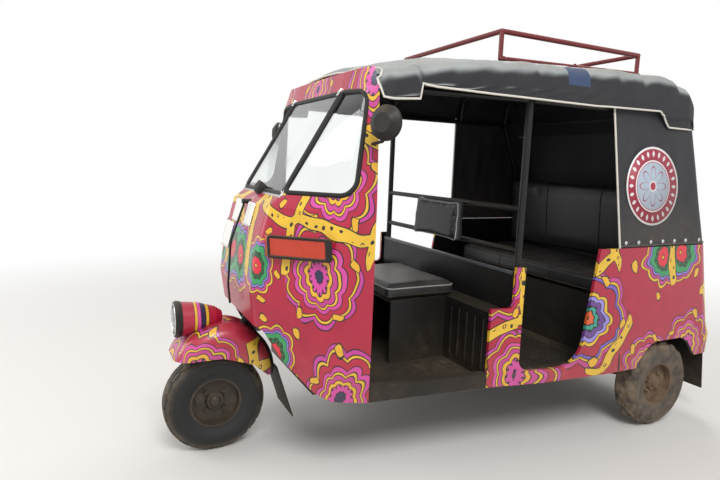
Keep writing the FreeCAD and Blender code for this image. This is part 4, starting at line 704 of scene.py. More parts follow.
def cord(points, radius, closed=False, flat=None, sides=3):
    """A cord along points, from a bevelled curve made a mesh; flat = (way, share) presses it flat."""
    line = bpy.data.curves.new("cord", "CURVE")
    line.dimensions = "3D"
    line.bevel_depth, line.bevel_resolution, line.use_fill_caps = radius, sides, True
    path = line.splines.new("POLY")
    path.points.add(len(points) - 1)
    for spot, point in zip(path.points, points):
        spot.co = (*point, 1)
    path.use_cyclic_u = closed
    holder = bpy.data.objects.new("cord", line)
    scene.collection.objects.link(holder)
    bpy.context.view_layer.update()
    mesh = bpy.data.meshes.new_from_object(holder.evaluated_get(bpy.context.evaluated_depsgraph_get()))
    shape = opened(mesh)
    bpy.data.objects.remove(holder)
    bpy.data.meshes.remove(mesh)
    bpy.data.curves.remove(line)
    if flat:
        way, share = Vector(flat[0]).normalized(), flat[1]
        middle = middle_of(points)
        for point in shape.verts:
            point.co -= way * (point.co - middle).dot(way) * (1 - share)
    return mended(shape)


def added(*shapes):
    """Several bmeshes as one."""
    whole = bmesh.new()
    for shape in shapes:
        mesh = bpy.data.meshes.new("part")
        shape.to_mesh(mesh)
        shape.free()
        whole.from_mesh(mesh)
        bpy.data.meshes.remove(mesh)
    return whole


def both_sides(shape):
    """Add the mirror image across the vehicle's middle plane."""
    bmesh.ops.mirror(shape, geom=shape.verts[:] + shape.edges[:] + shape.faces[:], axis="Y", merge_dist=-1)
    bmesh.ops.recalc_face_normals(shape, faces=shape.faces)
    return shape


def panel(columns, rows, place):
    """A grid sheet whose points go to place(u, v), u and v from 0 to 1."""
    shape = bmesh.new()
    bmesh.ops.create_grid(shape, x_segments=columns, y_segments=rows, size=0.5)
    for point in shape.verts:
        point.co = place(point.co.x + 0.5, point.co.y + 0.5)
    bmesh.ops.recalc_face_normals(shape, faces=shape.faces)
    return shape


print("a panel of 2 by 2 has", len(panel(2, 2, lambda u, v: Vector((u, v, 0))).faces), "faces")

# %% [markdown]
# The hood is one continuous sheet of coated canvas, laid over the hoops and laced down. It could be a
# cloth simulation, but a taut roof hardly moves in one. So a grid is shrunk onto the CAD hood by rays:
# level ones for the sides, a fan of them over each shoulder and upright ones for the top. Then it sags a
# few millimetres between the hoops and gathers where it is tied. Its back is the same sheet folded down.

# %% Measures of the canvas hood
hood_solid = surface(merged("canopy_roof"))
hood_low, hood_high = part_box("canopy_roof")
HOOD_FRONT = 0.641                      # the rolled front edge, over the brow
HOOPS = (0.655, 0.30, -0.012, -0.48, -0.83, -1.02)
HOOD_STEP, STEP_RUN = -0.765, 0.045     # from here back, over that length, the hood's edge drops to its back foot
HOOD_BACK_FOOT = hood_low.z + 0.002
SIDE_SHARE, TOP_SHARE = 0.22, 0.5       # of a half section: where the side ends and where the top begins
SHOULDER_IN, SHOULDER_DOWN = 0.11, 0.17     # from the hood's side and top to the middle of the shoulder's fan
BACK_FROM = 0.9                         # of the grid's length: the rest is folded down the back
SAG, TUCK, RIPPLE = 0.009, 0.006, 0.0016
TUCKS = ((-0.045, 0.9), (-0.50, 0.7), (-0.66, 0.9), (-0.90, 1.0), (0.34, 0.4))     # where tied, how strongly
HOOD_CUT = (1.50, 1.90)                 # width over the hoops and length with the back, as cut
CANVAS_THICK = 0.0025
print("hood", [round(c, 3) for c in hood_low], [round(c, 3) for c in hood_high])

# %% [markdown]
# A cross section of the hood is walked from its left edge to its right one. The first part goes up the
# side wall, the second round the shoulder and the third over the top, and each casts its rays from where
# the surface can't hide from them. The slack, tucks and ripples are then added along the ray.

# %% The canvas hood


def canvas_sheet(name, shape, material, replaced, cut):
    """Even out a sheet of canvas, keep it, give it its thickness, and print its area beside its size as cut flat."""
    bmesh.ops.smooth_vert(shape, verts=[v for v in shape.verts if not v.is_boundary], factor=0.35)
    area = sum(face.calc_area() for face in shape.faces)
    item = piece(name, shape, material, sharp=CLOTH_SHARP, replaces=(replaced,))
    thicken(item, CANVAS_THICK)
    print(name, "area", round(area, 3), "m2 of", round(cut[0] * cut[1], 3))


def sag(x):
    """How slack the hood is at a place along it: 0 on a hoop, 1 half way between two."""
    front = max(n for n, hoop in enumerate(HOOPS[:-1]) if hoop >= x - 1e-6)
    share = (HOOPS[front] - x) / (HOOPS[front] - HOOPS[front + 1])
    return math.sin(math.pi * limited(share)) ** 2


def hood_section(x, share):
    """A point of the hood at x, from its left edge (0) over the top to its right one (1)."""
    side = 1 if share < 0.5 else -1
    half = 1 - abs(2 * share - 1)
    wall = onto(hood_solid, Vector((x, side, 1.53 if x < 0.5 else 1.47)), LEFT * -side)
    top = onto(hood_solid, Vector((x, 0, 2)), -UP, 0.3).z
    foot = onto(hood_solid, Vector((x, wall.y - side * 0.004, 1.3)), UP, 0.13).z
    core = Vector((x, wall.y - side * SHOULDER_IN, max(top - SHOULDER_DOWN, foot + 0.015)))
    if half < SIDE_SHARE:
        hem = blend(foot + 0.0005, HOOD_BACK_FOOT, limited((HOOD_STEP - x) / STEP_RUN))
        level = blend(hem, core.z, half / SIDE_SHARE)
        if level < foot:
            return Vector((x, wall.y, level))
        start, way = Vector((x, side, level)), LEFT * -side
    elif half < TOP_SHARE:
        angle = (half - SIDE_SHARE) / (TOP_SHARE - SIDE_SHARE) * math.pi / 2
        way = Vector((0, -side * math.cos(angle), -math.sin(angle)))
        start = core - way * 0.5
    else:
        start, way = Vector((x, blend(core.y, 0, (half - TOP_SHARE) / 0.5), 2)), -UP
    hit = onto(hood_solid, start, way, 0.39)
    slack = sag(x) * limited((half - 0.2) / 0.3) * SAG
    tuck = sum(amount * math.exp(-((x - place + (half - 0.4) * 0.25) / 0.018) ** 2)
               for place, amount in TUCKS) * math.exp(-((half - 0.36) / 0.12) ** 2)
    ripple = RIPPLE * math.sin(41 * x + 23 * half) * math.sin(17 * half + 5 * x) * min(half * 6, 1)
    return hit + way * (slack + tuck * TUCK + ripple)


def hood_point(u, share):
    """Along the hood and, past its rear end, down the folded back."""
    x = blend(HOOD_FRONT, hood_low.x + 0.003, min(u / BACK_FROM, 1))
    edge = hood_section(x, share)
    if u <= BACK_FROM:
        return edge
    down = (u - BACK_FROM) / (1 - BACK_FROM)
    left, right_side = hood_section(x, 0), hood_section(x, 1)
    y, z = blend(edge.y, blend(left.y, right_side.y, share) * 0.999, down), blend(edge.z, left.z, down)
    hit = hood_solid.ray_cast(Vector((hood_low.x - 0.2, y, z)), FORWARD)[0]
    return hit if hit and hit.x < hood_low.x + 0.05 else Vector((hood_low.x, y, z))


canvas_sheet("canvas_hood", panel(180, 110, hood_point), hood_canvas, "canopy_roof", HOOD_CUT)

# %% [markdown]
# White vinyl piping is sewn along the hood's lower edges and over the brow between them. It is a cord
# 9 mm thick, so a curve with a bevel, made a mesh, is the quickest true shape.

# %% Piping of the hood
PIPING_END, PIPING_RADIUS = -1.014, 0.0042
edge_stations = [blend(HOOD_FRONT, PIPING_END, n / 150) for n in range(151)]
left_edge = [hood_section(x, 0) + Vector((0, 0.002, 0.002)) for x in edge_stations]
right_edge = [Vector((p.x, -p.y, p.z)) for p in reversed(left_edge)]
over_brow = [hood_section(HOOD_FRONT, n / 60) + Vector((0.002, 0, 0.001)) for n in range(59, 0, -1)]
piece("hood_piping", cord(right_edge + over_brow + left_edge, PIPING_RADIUS), white_piping)

# %% [markdown]
# The sides and back of the rear compartment are one wrap of canvas from the left doorway round the back
# to the right doorway. Columns of rays, fanned round the two corners, put it on the CAD shape. Shallow
# upright folds run down from the hood, and the front edges are piped like the hood.

# %% The canvas wrap
wrap_solid = surface(merged("canopy_rear"))
wrap_low, wrap_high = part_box("canopy_rear")
FLAP_SEEK = (-0.43, -0.93)              # the wrap's front edge is looked for from here back
SIDE_RUN, CORNER_RUN = 0.5, 0.68        # of half the way round: where the side ends and where the back begins
CORNER = 0.16                           # radius of the fan round a rear corner
WRAP_OUT, WRAP_SLACK = 0.0015, 0.004
WRAP_CUT = (2.66, 0.66)                 # round the body from doorway to doorway, and its height, as cut


def front_edge_at(z):
    """Where the wrap's front edge is at a height."""
    span = [blend(*FLAP_SEEK, n / 400) for n in range(400)]
    return next(x for x in span if wrap_solid.ray_cast(Vector((x, 1, z)), -LEFT)[0])


FLAP_FRONT = (front_edge_at(wrap_low.z + 0.004), front_edge_at(wrap_high.z - 0.004))
print("front edge of the wrap", [round(x, 3) for x in FLAP_FRONT])


def wrap_point(u, v):
    """From the left front edge (0) round the back to the right one (1), and from the foot to the head."""
    z = blend(wrap_low.z + 0.001, wrap_high.z - 0.001, v)
    side = 1 if u < 0.5 else -1
    run = 1 - abs(2 * u - 1)
    front = blend(*FLAP_FRONT, v) - 0.0015
    rear = blend(wrap_low.x, hood_low.x + 0.002, v)
    half = blend(wrap_high.y, hood_high.y - 0.022, v)
    if run < SIDE_RUN:
        start, way = Vector((blend(front, rear + CORNER, run / SIDE_RUN), side, z)), LEFT * -side
    elif run < CORNER_RUN:
        angle = (run - SIDE_RUN) / (CORNER_RUN - SIDE_RUN) * math.pi / 2
        way = Vector((math.sin(angle), -side * math.cos(angle), 0))
        start = Vector((rear + CORNER, side * (half - CORNER), z)) - way * 0.6
    else:
        across = blend(half - CORNER, 0, (run - CORNER_RUN) / (1 - CORNER_RUN))
        start, way = Vector((rear - 0.4, side * across, z)), FORWARD
    hit = onto(wrap_solid, start, way, 0.4)
    hang = math.sin(math.pi * v)
    fold = 0.0022 * math.sin(31 * run + 4 * v) + 0.0016 * math.sin(57 * run - 7 * v + 1)
    slack = WRAP_SLACK * hang * math.sin(math.pi * min(run / SIDE_RUN, 1)) ** 2
    return hit + way * (WRAP_OUT + slack + fold * hang * min(run * 20, 1))


canvas_sheet("canvas_wrap", panel(200, 60, wrap_point), side_canvas, "canopy_rear", WRAP_CUT)
front_line = [wrap_point(0, n / 40) + Vector((0.002, 0.002, 0)) for n in range(41)]
piece("wrap_piping", both_sides(cord(front_line, 0.0045)), white_piping)
wrap_foot = [wrap_point(n / 160, 0.0) + UP * 0.006 for n in range(161)]
piece("wrap_hem", cord(wrap_foot, 0.004, flat=(UP, 0.999)), side_canvas)

# %% [markdown]
# Cloth cushions: foam in a vinyl cover, crowned in the middle and drawn in at the seams. A box with round
# edges would look moulded. So each CAD cushion is copied, remeshed into even quads and blown up a little
# by the cloth solver's pressure, with gravity off, and then each point's move is capped. The seams are
# corded, as an upholsterer would do it.

# %% Filling a cushion's cover
CLOTH_FRAMES = 20
PRESSURE = 4.0
CUSHIONS = {             # CAD node, size of a remeshed quad, most a point may move, drawn in, how full
    "driver_cushion": ("driver_seat", 0.006, 0.012, 0.006, 0.8),
    "driver_rest": ("driver_backrest", 0.006, 0.012, 0.006, 0.7),
    "bench_cushion": ("passenger_seat", 0.010, 0.014, 0.007, 0.8),
    "bench_rest": ("passenger_backrest", 0.010, 0.014, 0.007, 0.7),
}


def settle(item):
    """Apply what the modifiers make to the mesh."""
    graph = bpy.context.evaluated_depsgraph_get()
    made = bpy.data.meshes.new_from_object(item.evaluated_get(graph))
    material = item.data.materials[0]
    item.modifiers.clear()
    old, item.data = item.data, made
    bpy.data.meshes.remove(old)
    made.materials.clear()
    made.materials.append(material)


def filled(item, cap):
    """Let the cloth solver fill the cover, and cap how far each point may move."""
    before = [v.co.copy() for v in item.data.vertices]
    cloth = item.modifiers.new("cover", "CLOTH")
    cloth.settings.use_pressure = True
    cloth.settings.uniform_pressure_force = PRESSURE
    cloth.settings.effector_weights.gravity = 0.0
    cloth.settings.quality = 4
    cloth.point_cache.frame_start, cloth.point_cache.frame_end = 1, CLOTH_FRAMES
    for step in range(1, CLOTH_FRAMES + 1):
        scene.frame_set(step)
    settle(item)
    scene.frame_set(1)
    for point, start in zip(item.data.vertices, before):
        move = point.co - start
        if move.length > cap:
            point.co = start + move * (cap / move.length)


def swollen(item, voxel, cap, shrink):
    """Draw the shape in, remesh it, fill it, and round the result."""
    mesh = item.data
    centre = middle_of([v.co for v in mesh.vertices])
    size = Vector(item.dimensions)
    for point in mesh.vertices:
        away = point.co - centre
        point.co = centre + Vector([a * (1 - 2 * shrink / s) for a, s in zip(away, size)])
    remesh = item.modifiers.new("even", "REMESH")
    remesh.mode, remesh.voxel_size = "VOXEL", voxel
    settle(item)
    filled(item, cap)
    rounder = item.modifiers.new("rounder", "SUBSURF")
    rounder.levels = rounder.render_levels = 1
    settle(item)
    item.data.shade_smooth()


print("pressure", PRESSURE, "over", CLOTH_FRAMES, "frames")

# %% [markdown]
# Each cushion stands for its CAD solid, which is hidden then. Its finished cover is kept as something
# that can be asked for its nearest point, because the seams and their cords are laid on it next.

# %% The four cushions
covers = {}
for name, (node_name, voxel, cap, shrink, fill) in CUSHIONS.items():
    item = piece(name, merged(node_name), seat_vinyl, replaces=(node_name,))
    swollen(item, voxel, cap, shrink)
    covers[name] = surface(opened(item.data))
    heights = [v.co.z for v in item.data.vertices]
    print(name, "from", round(min(heights), 3), "to", round(max(heights), 3))

# %% [markdown]
# Corded seams lie on the swollen covers: a rounded loop is drawn at the seam's height, and each of its
# points goes to the nearest place on the cushion. The bench has two cross seams as well.

# %% Lines of the seams


def rounded_loop(low, high, corner, axes, level, each=8):
    """A rounded rectangle between two corners in two axes, at a level on the third."""
    first, second = axes
    points = []
    for side, (a, b) in enumerate(((high[0], high[1]), (low[0], high[1]), (low[0], low[1]), (high[0], low[1]))):
        middle = (a - corner if a > low[0] else a + corner, b - corner if b > low[1] else b + corner)
        for n in range(each + 1):
            angle = (side + n / each) * math.pi / 2
            place = Vector((level, level, level))
            place[first] = middle[0] + corner * math.cos(angle)
            place[second] = middle[1] + corner * math.sin(angle)
            points.append(place)
    return points


def evenly(points, step, closed=True):
    """The same line with points about step apart."""
    ends = points[1:] + points[:1] if closed else points[1:]
    line = []
    for start, end in zip(points, ends):
        count = max(1, round((end - start).length / step))
        line += [start.lerp(end, n / count) for n in range(count)]
    return line if closed else line + [points[-1]]


def smoothed(line, closed=True):
    """Each point moved half way to the middle of its neighbours; open ends stay."""
    return [line[n] if not closed and n in (0, len(line) - 1) else
            (line[n - 1] + line[n] * 2 + line[(n + 1) % len(line)]) / 4 for n in range(len(line))]


def seam(name, cover, points, material, radius=0.003, closed=True):
    """A corded seam that lies on a cushion's cover, a third sunk in."""
    laid = []
    for point in evenly(points, 0.012, closed):
        near, normal, _, _ = cover.find_nearest(point)
        laid.append(near + normal * radius * 0.35)
    laid = smoothed(smoothed(laid, closed), closed)
    piece(name, cord(laid, radius, closed), material)


print("a loop has", len(rounded_loop((0, 0), (1, 1), 0.1, (0, 1), 0.0)), "points")

# %% [markdown]
# The seat cushions have a seam round the top and one round the foot, the driver's backrest one round its
# front and one round its back. Loops suit all of them. The two cross seams of the bench run over the
# front edge and back along the top.

# %% Seams of the cushions
SEAM_CORNER, REST_CORNER = 0.05, 0.045
CROSS_SEAM_AT, CROSS_SEAM_RADIUS = {"left": 0.19, "right": -0.19}, 0.0025
for name, tint in (("driver_cushion", grey_piping), ("bench_cushion", seal_rubber)):
    low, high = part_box(CUSHIONS[name][0])
    for end, level, cord_tint in (("top", high.z - 0.008, tint), ("foot", low.z + 0.010, seal_rubber)):
        seam(f"{name}_seam_{end}", covers[name], rounded_loop(low, high, SEAM_CORNER, (0, 1), level), cord_tint)
low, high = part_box("driver_backrest")
for end, level, cord_tint in (("front", high.x, grey_piping), ("back", low.x, seal_rubber)):
    line = rounded_loop(low.yz, high.yz, REST_CORNER, (1, 2), level)
    seam(f"driver_rest_seam_{end}", covers["driver_rest"], line, cord_tint)
for name, cushion, lift in (("bench", "bench_cushion", 0.02), ("rest", "bench_rest", 0.03)):
    low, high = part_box(CUSHIONS[cushion][0])
    for side, across in CROSS_SEAM_AT.items():
        line = [Vector((x, across, z)) for x, z in ((high.x, low.z + lift), (high.x, high.z), (low.x, high.z))]
        seam(f"{name}_cross_seam_{side}", covers[cushion], line, seal_rubber, CROSS_SEAM_RADIUS, closed=False)

# the backrest's cover is tacked to a board behind its foot, which closes the gap over the cushion
low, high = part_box("passenger_backrest")
board = bmesh.new()
block(board, (low.x - 0.006, low.y + 0.01, low.z - 0.05), (low.x - 0.002, high.y - 0.01, low.z + 0.06), 0.001)
piece("rest_foot_board", board, seat_vinyl)

# %% [markdown]
# Tyres: the CAD ones are plain. A tyre's carcass is a spun outline, and its tread is a repeating row of
# lugs. The outline is spun in as many steps as the tread has pitches, then the faces that are lugs are
# pushed out together, which is quicker and cleaner than cutting grooves. The rear pair carries open
# lugs. The front one has ribs with short cross cuts. Each tyre rides on its own wheel.

# %% The plan of the treads
PITCHES = 96
TYRE_RADIUS, TREAD_DEPTH = 0.208, 0.006
TREAD_FROM, TREAD_ROW = 0.196, 0.009     # faces further out than this are tread, in rows this wide
PUSH_OUT = TREAD_DEPTH - 0.0002
SIDE_WALL = ((0.1055, 0.0415), (0.117, 0.0430), (0.128, 0.0485), (0.145, 0.0525), (0.160, 0.0540),
             (0.176, 0.0535), (0.187, 0.0500), (0.1945, 0.0440))
CROWN = ((0.1990, 0.0360), (0.2010, 0.0270), (0.2016, 0.0180), (0.2020, 0.0090))
WALL_RINGS = ((0.139, 0.0505, 0.0012), (0.170, 0.0538, 0.0010), (0.183, 0.0515, 0.0013))


def circle(centre, radius, across, up, count):
    """Points round a centre, from the way across towards the way up."""
    turns = [math.tau * n / count for n in range(count)]
    return [centre + (across * math.cos(turn) + up * math.sin(turn)) * radius for turn in turns]


def is_rib(row, pitch, side):
    """The front tread: whole ribs, an outer one cut every fourth pitch, and bridges between the inner two."""
    return row in (0, 2) or (row == 3 and pitch % 4 != 0) or (row == 1 and pitch % 8 > 5)


def is_lug(row, pitch, side):
    """The rear tread: open lugs that step from row to row, and a middle rib cut every third pitch."""
    open_from = 1 if row < 2 else 2
    return (pitch + side + row) % 6 > open_from and row != 4 or row == 0 and pitch % 3


print("pitch", round(math.tau * TYRE_RADIUS / PITCHES * 1000, 1), "mm")

# %% [markdown]
# One function makes all three tyres: spin, choose the faces, push them out by the depth of the tread,
# and drop the faces that they left behind, which would be walls inside the rubber. The fine rings that
# the mould leaves on the side walls are thin closed cords.

# %% The three tyres


def tread_tyre(name, body, centre, material, raised_at, replaced):
    """A spun carcass whose tread faces are pushed out where raised_at says so, on its own wheel."""
    half = list(SIDE_WALL) + list(CROWN)
    outline = half + [(TYRE_RADIUS - PUSH_OUT, 0.0)] + [(radius, -width) for radius, width in reversed(half)]
    shape = lathe(outline, Vector(), LEFT, PITCHES)
    raised = []
    for face in shape.faces:
        middle = face.calc_center_median()
        if math.hypot(middle.x, middle.z) > TREAD_FROM:
            pitch = int((math.atan2(middle.z, middle.x) % math.tau) / math.tau * PITCHES)
            if raised_at(int(abs(middle.y) / TREAD_ROW), pitch, 0 if middle.y > 0 else 3):
                raised.append(face)
    made = bmesh.ops.extrude_face_region(shape, geom=raised)["geom"]
    for point in {v for v in made if isinstance(v, bmesh.types.BMVert)}:
        level = math.hypot(point.co.x, point.co.z)
        point.co.xz *= (level + PUSH_OUT) / level
    bmesh.ops.delete(shape, geom=raised, context="FACES_ONLY")
    bmesh.ops.recalc_face_normals(shape, faces=shape.faces)
    # moulded rings on the side walls
    rings = [cord(circle(LEFT * side * width, radius, FORWARD, UP, PITCHES), wire_radius, closed=True, sides=1)
             for radius, width, wire_radius in WALL_RINGS for side in SIDES]
    shape = added(shape, *rings)
    bmesh.ops.translate(shape, verts=shape.verts, vec=centre)
    piece(name, shape, material, body=body, replaces=(replaced,))


for name, (body, centre) in WHEELS.items():
    rubber, raised_at = (front_rubber, is_rib) if name == "front" else (rear_rubber, is_lug)
    tread_tyre(f"{name}_tyre_tread", body, centre, rubber, raised_at, f"{name}_tyre")

# %% [markdown]
# The wheels' small parts: four studs and nuts round the hub, a grease cap in the middle and a valve. The
# nuts are six-sided rods with a bevel, repeated round the axle.

# %% Wheel nuts, caps and valves
NUT_CIRCLE = 0.054
CAP_OUTLINE = ((0.0, 0.014), (0.012, 0.0135), (0.020, 0.010), (0.024, 0.004), (0.026, -0.002))
for name, (body, centre) in WHEELS.items():
    out = -LEFT if name == "rear_right" else LEFT
    rim_finish = rim_black if name == "front" else rim_rust
    nuts, valve = bmesh.new(), bmesh.new()
    for spot in circle(centre, NUT_CIRCLE, FORWARD, UP, 8)[1::2]:
        rod(nuts, spot + out * 0.006, spot + out * 0.020, 0.0105, 6, round_off=0.001)
        rod(nuts, spot + out * 0.018, spot + out * 0.027, 0.005, 12)
    piece(f"{name}_wheel_nuts", nuts, rim_finish, body=body)
    piece(f"{name}_hub_cap", lathe(CAP_OUTLINE, centre + out * 0.024, out, 40), rim_finish, body=body)
    foot = centre + Vector((0.088, 0, 0.02)) + out * 0.012
    collar = foot + out * 0.026 - FORWARD * 0.010
    rod(valve, foot, collar, 0.0042, 14)
    rod(valve, collar, collar + out * 0.008 - FORWARD * 0.003, 0.0052, 14, round_off=0.001)
    piece(f"{name}_valve", valve, seal_rubber, body=body)

# %% [markdown]
# The three panes sit in black extruded rubber. A seal could be modelled in section and swept. Here the
# rim of each pane is taken from the CAD glass, as the edges where its outer skin ends, and a cord goes
# along it, pressed against the pane.

# %% Finding a pane and its rim
PANES = {"windscreen": (0.86, 0.0, 0.51), "quarter_left": (0.65, 0.65, 0.36), "quarter_right": (0.65, -0.65, 0.36)}
SEAL_RADIUS, SEAL_OUT = 0.0098, 0.002


def pane_of(shape, facing):
    """Keep only the pane that looks a way: its largest face and all that hangs together with it."""
    mine = [face for face in shape.faces if facing.y == 0 or face.calc_center_median().y * facing.y > 0.2]
    seed = max(mine, key=lambda face: face.normal.dot(facing) * face.calc_area())
    island, queue = {seed}, [seed]
    while queue:
        beside = {other for edge in queue.pop().edges for other in edge.link_faces} - island
        island |= beside
        queue += beside
    bmesh.ops.delete(shape, geom=[face for face in shape.faces if face not in island], context="FACES")


def rim_of(shape, facing):
    """The ordered outline of a pane's outer skin: the edges with just one face that looks that way."""
    skin = {f for f in shape.faces if f.normal.dot(facing) > 0.6}
    rim = {e for f in skin for e in f.edges if sum(g in skin for g in e.link_faces) == 1}
    point = max((v for e in rim for v in e.verts), key=lambda v: (v.co.z, v.co.y))     # left of two equal ones
    outline = []
    while True:
        outline.append(point.co.copy())
        step = next((e for e in point.link_edges if e in rim), None)
        if step is None:
            return outline
        rim.discard(step)
        point = step.other_vert(point)


print("panes", list(PANES))

# %% [markdown]
# Each outline is a set of corner points. It is spread a little, so that the seal overlaps the pane's
# edge, divided evenly, rounded once and lifted off the glass. The cord pressed along it then looks like
# the lip of a real seal. Its flatness differs: the quarter seals are thick, the windscreen's is low.

# %% Rubber seals round the glass
panes = {}
for name, facing in PANES.items():
    facing = Vector(facing).normalized()
    pane = merged("cowl_glass")
    pane_of(pane, facing)
    outline = rim_of(pane, facing)
    pane.free()
    panes[name] = (outline, facing)
    middle = middle_of(outline)
    ring = evenly([middle + (point - middle) * 1.004 for point in outline], 0.01)
    ring = [point + facing * SEAL_OUT for point in smoothed(ring)]
    seal = cord(ring, SEAL_RADIUS, closed=True, flat=(facing, 0.97 if facing.y else 0.6))
    piece(f"{name}_seal", seal, seal_rubber)
    print(name, len(outline), "points", round(sum((a - b).length for a, b in zip(ring, ring[1:])), 2), "m")

# %% [markdown]
# The windscreen is held by four small chromed clips, and a bright strip closes its foot. Both are blocks
# that are turned to the pane's slope and put at the corners and the foot of the outline found above.

# %% Windscreen clips and foot strip
outline, normal = panes["windscreen"]
screen_up = LEFT.cross(normal).normalized()
screen_up = screen_up if screen_up.z > 0 else -screen_up
screen_turn = Matrix((normal, LEFT, screen_up)).transposed().to_4x4()
CORNER_REACH = 0.03      # points of the outline as near as this to its foot or head are at a corner
foot_z, head_z = min(p.z for p in outline), max(p.z for p in outline)
clips, strip = bmesh.new(), bmesh.new()
for level in (head_z, foot_z):
    at_corner = [p for p in outline if abs(p.z - level) < CORNER_REACH]
    wide = max(p.y for p in at_corner)
    for side in SIDES:
        spot = Vector((at_corner[0].x, side * (wide + 0.002), level)) + normal * 0.006
        block(clips, (-0.004, -0.008, -0.016), (0.006, 0.008, 0.016), turn=Matrix.Translation(spot) @ screen_turn)
        rod(clips, spot + normal * 0.004, spot + normal * 0.009, 0.0045, 12, round_off=0.001)
piece("windscreen_clips", clips, chrome)
foot = Vector((max(p.x for p in outline), 0, foot_z)) - screen_up * 0.015 + normal * 0.001
block(strip, (-0.001, -wide - 0.01, -0.005), (0.005, wide + 0.01, 0.006), 0.0015,
      Matrix.Translation(foot) @ screen_turn)
piece("windscreen_foot_strip", strip, bright_strip)

# %% [markdown]
# Small blank plates of white enamelled steel are riveted to the nose. Each is a flat grid laid along the
# slope that a ray finds under its middle, a few millimetres proud, with its rivets in the corners.

# %% Blank plates on the nose
cowl = surface(merged("front_cowl"))
PLATES = {                # two corners as (y, z), and how far aside of the middle the slope is read
    "upper_right": ((-0.178, 0.952), (-0.068, 1.046), 0.0),
    "upper_left": ((0.016, 0.952), (0.116, 1.046), 0.0),
    "lower_right": ((-0.252, 0.832), (-0.124, 0.944), 0.03),
}
PLATE_OUT, PLATE_THICK = 0.004, 0.0015


def plate_place(low, high, middle, slope, u, v):
    """A point of a plate on the plane through its middle."""
    y, z = blend(low[0], high[0], u), blend(low[1], high[1], v)
    return Vector((middle.x - (z - middle.z) * slope.z / slope.x, y, z)) + slope * PLATE_OUT


for name, (low, high, aside) in PLATES.items():
    start = Vector((1.6, (low[0] + high[0]) / 2 + aside, (low[1] + high[1]) / 2))
    middle, normal = cowl.ray_cast(start, -FORWARD)[:2]
    slope = Vector((normal.x, 0, normal.z)).normalized()
    on_plate = partial(plate_place, low, high, middle, slope)
    thicken(piece(f"blank_plate_{name}", panel(10, 8, on_plate), white_enamel), PLATE_THICK)
    rivets = bmesh.new()
    for u in (0.08, 0.92):
        for v in (0.1, 0.9):
            rod(rivets, on_plate(u, v) - slope * PLATE_OUT, on_plate(u, v) + slope * 0.0022, 0.004, 12, 0.0025)
    piece(f"plate_rivets_{name}", rivets, chrome)

# %% [markdown]
# Indicators: an amber lens wraps the cowl's corner on each side, in a black moulded frame that is thick
# at its rear end. The frame's cord runs over the edge of the CAD lens, found by rays.

# %% Indicator frames
lens = surface(merged("indicator_lamps"))
low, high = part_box("indicator_lamps")
x0, x1, z0, z1 = low.x + 0.004, high.x - 0.004, low.z + 0.003, high.z - 0.003


def on_lens(x, z):
    """The left lens's face at a place of the side view."""
    return onto(lens, Vector((x, 1, z)), -LEFT)


loop = rounded_loop((x0, z0), (x1, z1), 0.008, (0, 2), 0.0, each=3)
frame_line = [on_lens(p.x, p.z) for p in evenly(loop, 0.008)]
end_line = [on_lens(x0 + 0.006, z) for z in (z0 - 0.002, (z0 + z1) / 2, z1 + 0.002)]
frames = added(cord(frame_line, 0.0058, closed=True), cord(end_line, 0.0125, flat=((0.67, 0.74, 0), 0.75)))
piece("indicator_frames", both_sides(frames), black_plastic)

# %% [markdown]
# The headlamp's CAD lens is a solid plug. Here it becomes a domed, fluted glass dish over a bright
# reflector bowl with its bulb. All three are outlines spun round the lamp's axis, and they turn with
# the steering.

# %% Headlamp glass, reflector and bulb
LAMP_FACE, BEAD_RING = Vector((1.270, 0, 0.570)), 0.0625
GLASS_DISH = ((0.0, 0.004), (0.024, 0.0034), (0.045, 0.0008), (0.0590, -0.004), (0.0592, -0.008),
              (0.0565, -0.007), (0.043, -0.0022), (0.023, 0.0004), (0.0, 0.001))
BOWL = ((0.0585, -0.009), (0.054, -0.015), (0.044, -0.0215), (0.030, -0.0255), (0.012, -0.0275), (0.0, -0.0278))
BULB = ((0.0, -0.012), (0.004, -0.0125), (0.0065, -0.0155), (0.0065, -0.0205), (0.005, -0.0245), (0.0, -0.0272))
for name, outline, sides, material, replaced in (("headlamp_glass", GLASS_DISH, 96, lamp_glass, ("headlamp_lens",)),
                                                 ("headlamp_reflector", BOWL, 96, chrome, ()),
                                                 ("headlamp_bulb", BULB, 32, lamp_glass, ())):
    piece(name, lathe(outline, LAMP_FACE, FORWARD, sides), material, "steering", replaces=replaced)
bead = circle(LAMP_FACE - FORWARD * 0.001, BEAD_RING, LEFT, UP, 72)
piece("headlamp_rim_bead", cord(bead, 0.0028, closed=True), chrome, body="steering")

# %% [markdown]
# Mirrors: the CAD dish is the housing. A silvered disc with a rolled rubber rim is set into its open
# side, which looks back along the vehicle.

# %% Mirror glass
MIRROR_WAY = Vector((0.88, 0.475, 0)).normalized()
MIRROR_RADIUS, MIRROR_RIM = 0.0545, 0.0572
mirror_place = Vector((0.664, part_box("mirrors")[1].y - 0.0533, 1.355)) - MIRROR_WAY * 0.0135
silver_disc = ((0.0, 0.0015), (0.030, 0.0012), (MIRROR_RADIUS, 0.0), (MIRROR_RADIUS, -0.002), (0.0, -0.002))
piece("mirror_glass", both_sides(lathe(silver_disc, mirror_place, -MIRROR_WAY, 72)), mirror_silver)
bead = circle(mirror_place, MIRROR_RIM, UP.cross(MIRROR_WAY), UP, 72)
piece("mirror_rims", both_sides(cord(bead, 0.0034, closed=True)), seal_rubber)

# %% [markdown]
# The side emblem is a plain painted medallion. A disc is made of inset rings so that it can bend, and it
# is laid on the canvas by rays, a millimetre proud, on both sides. Sign paint on cloth is opaque and
# satin, so the petals keep crisp edges while the weave still breaks their shine.

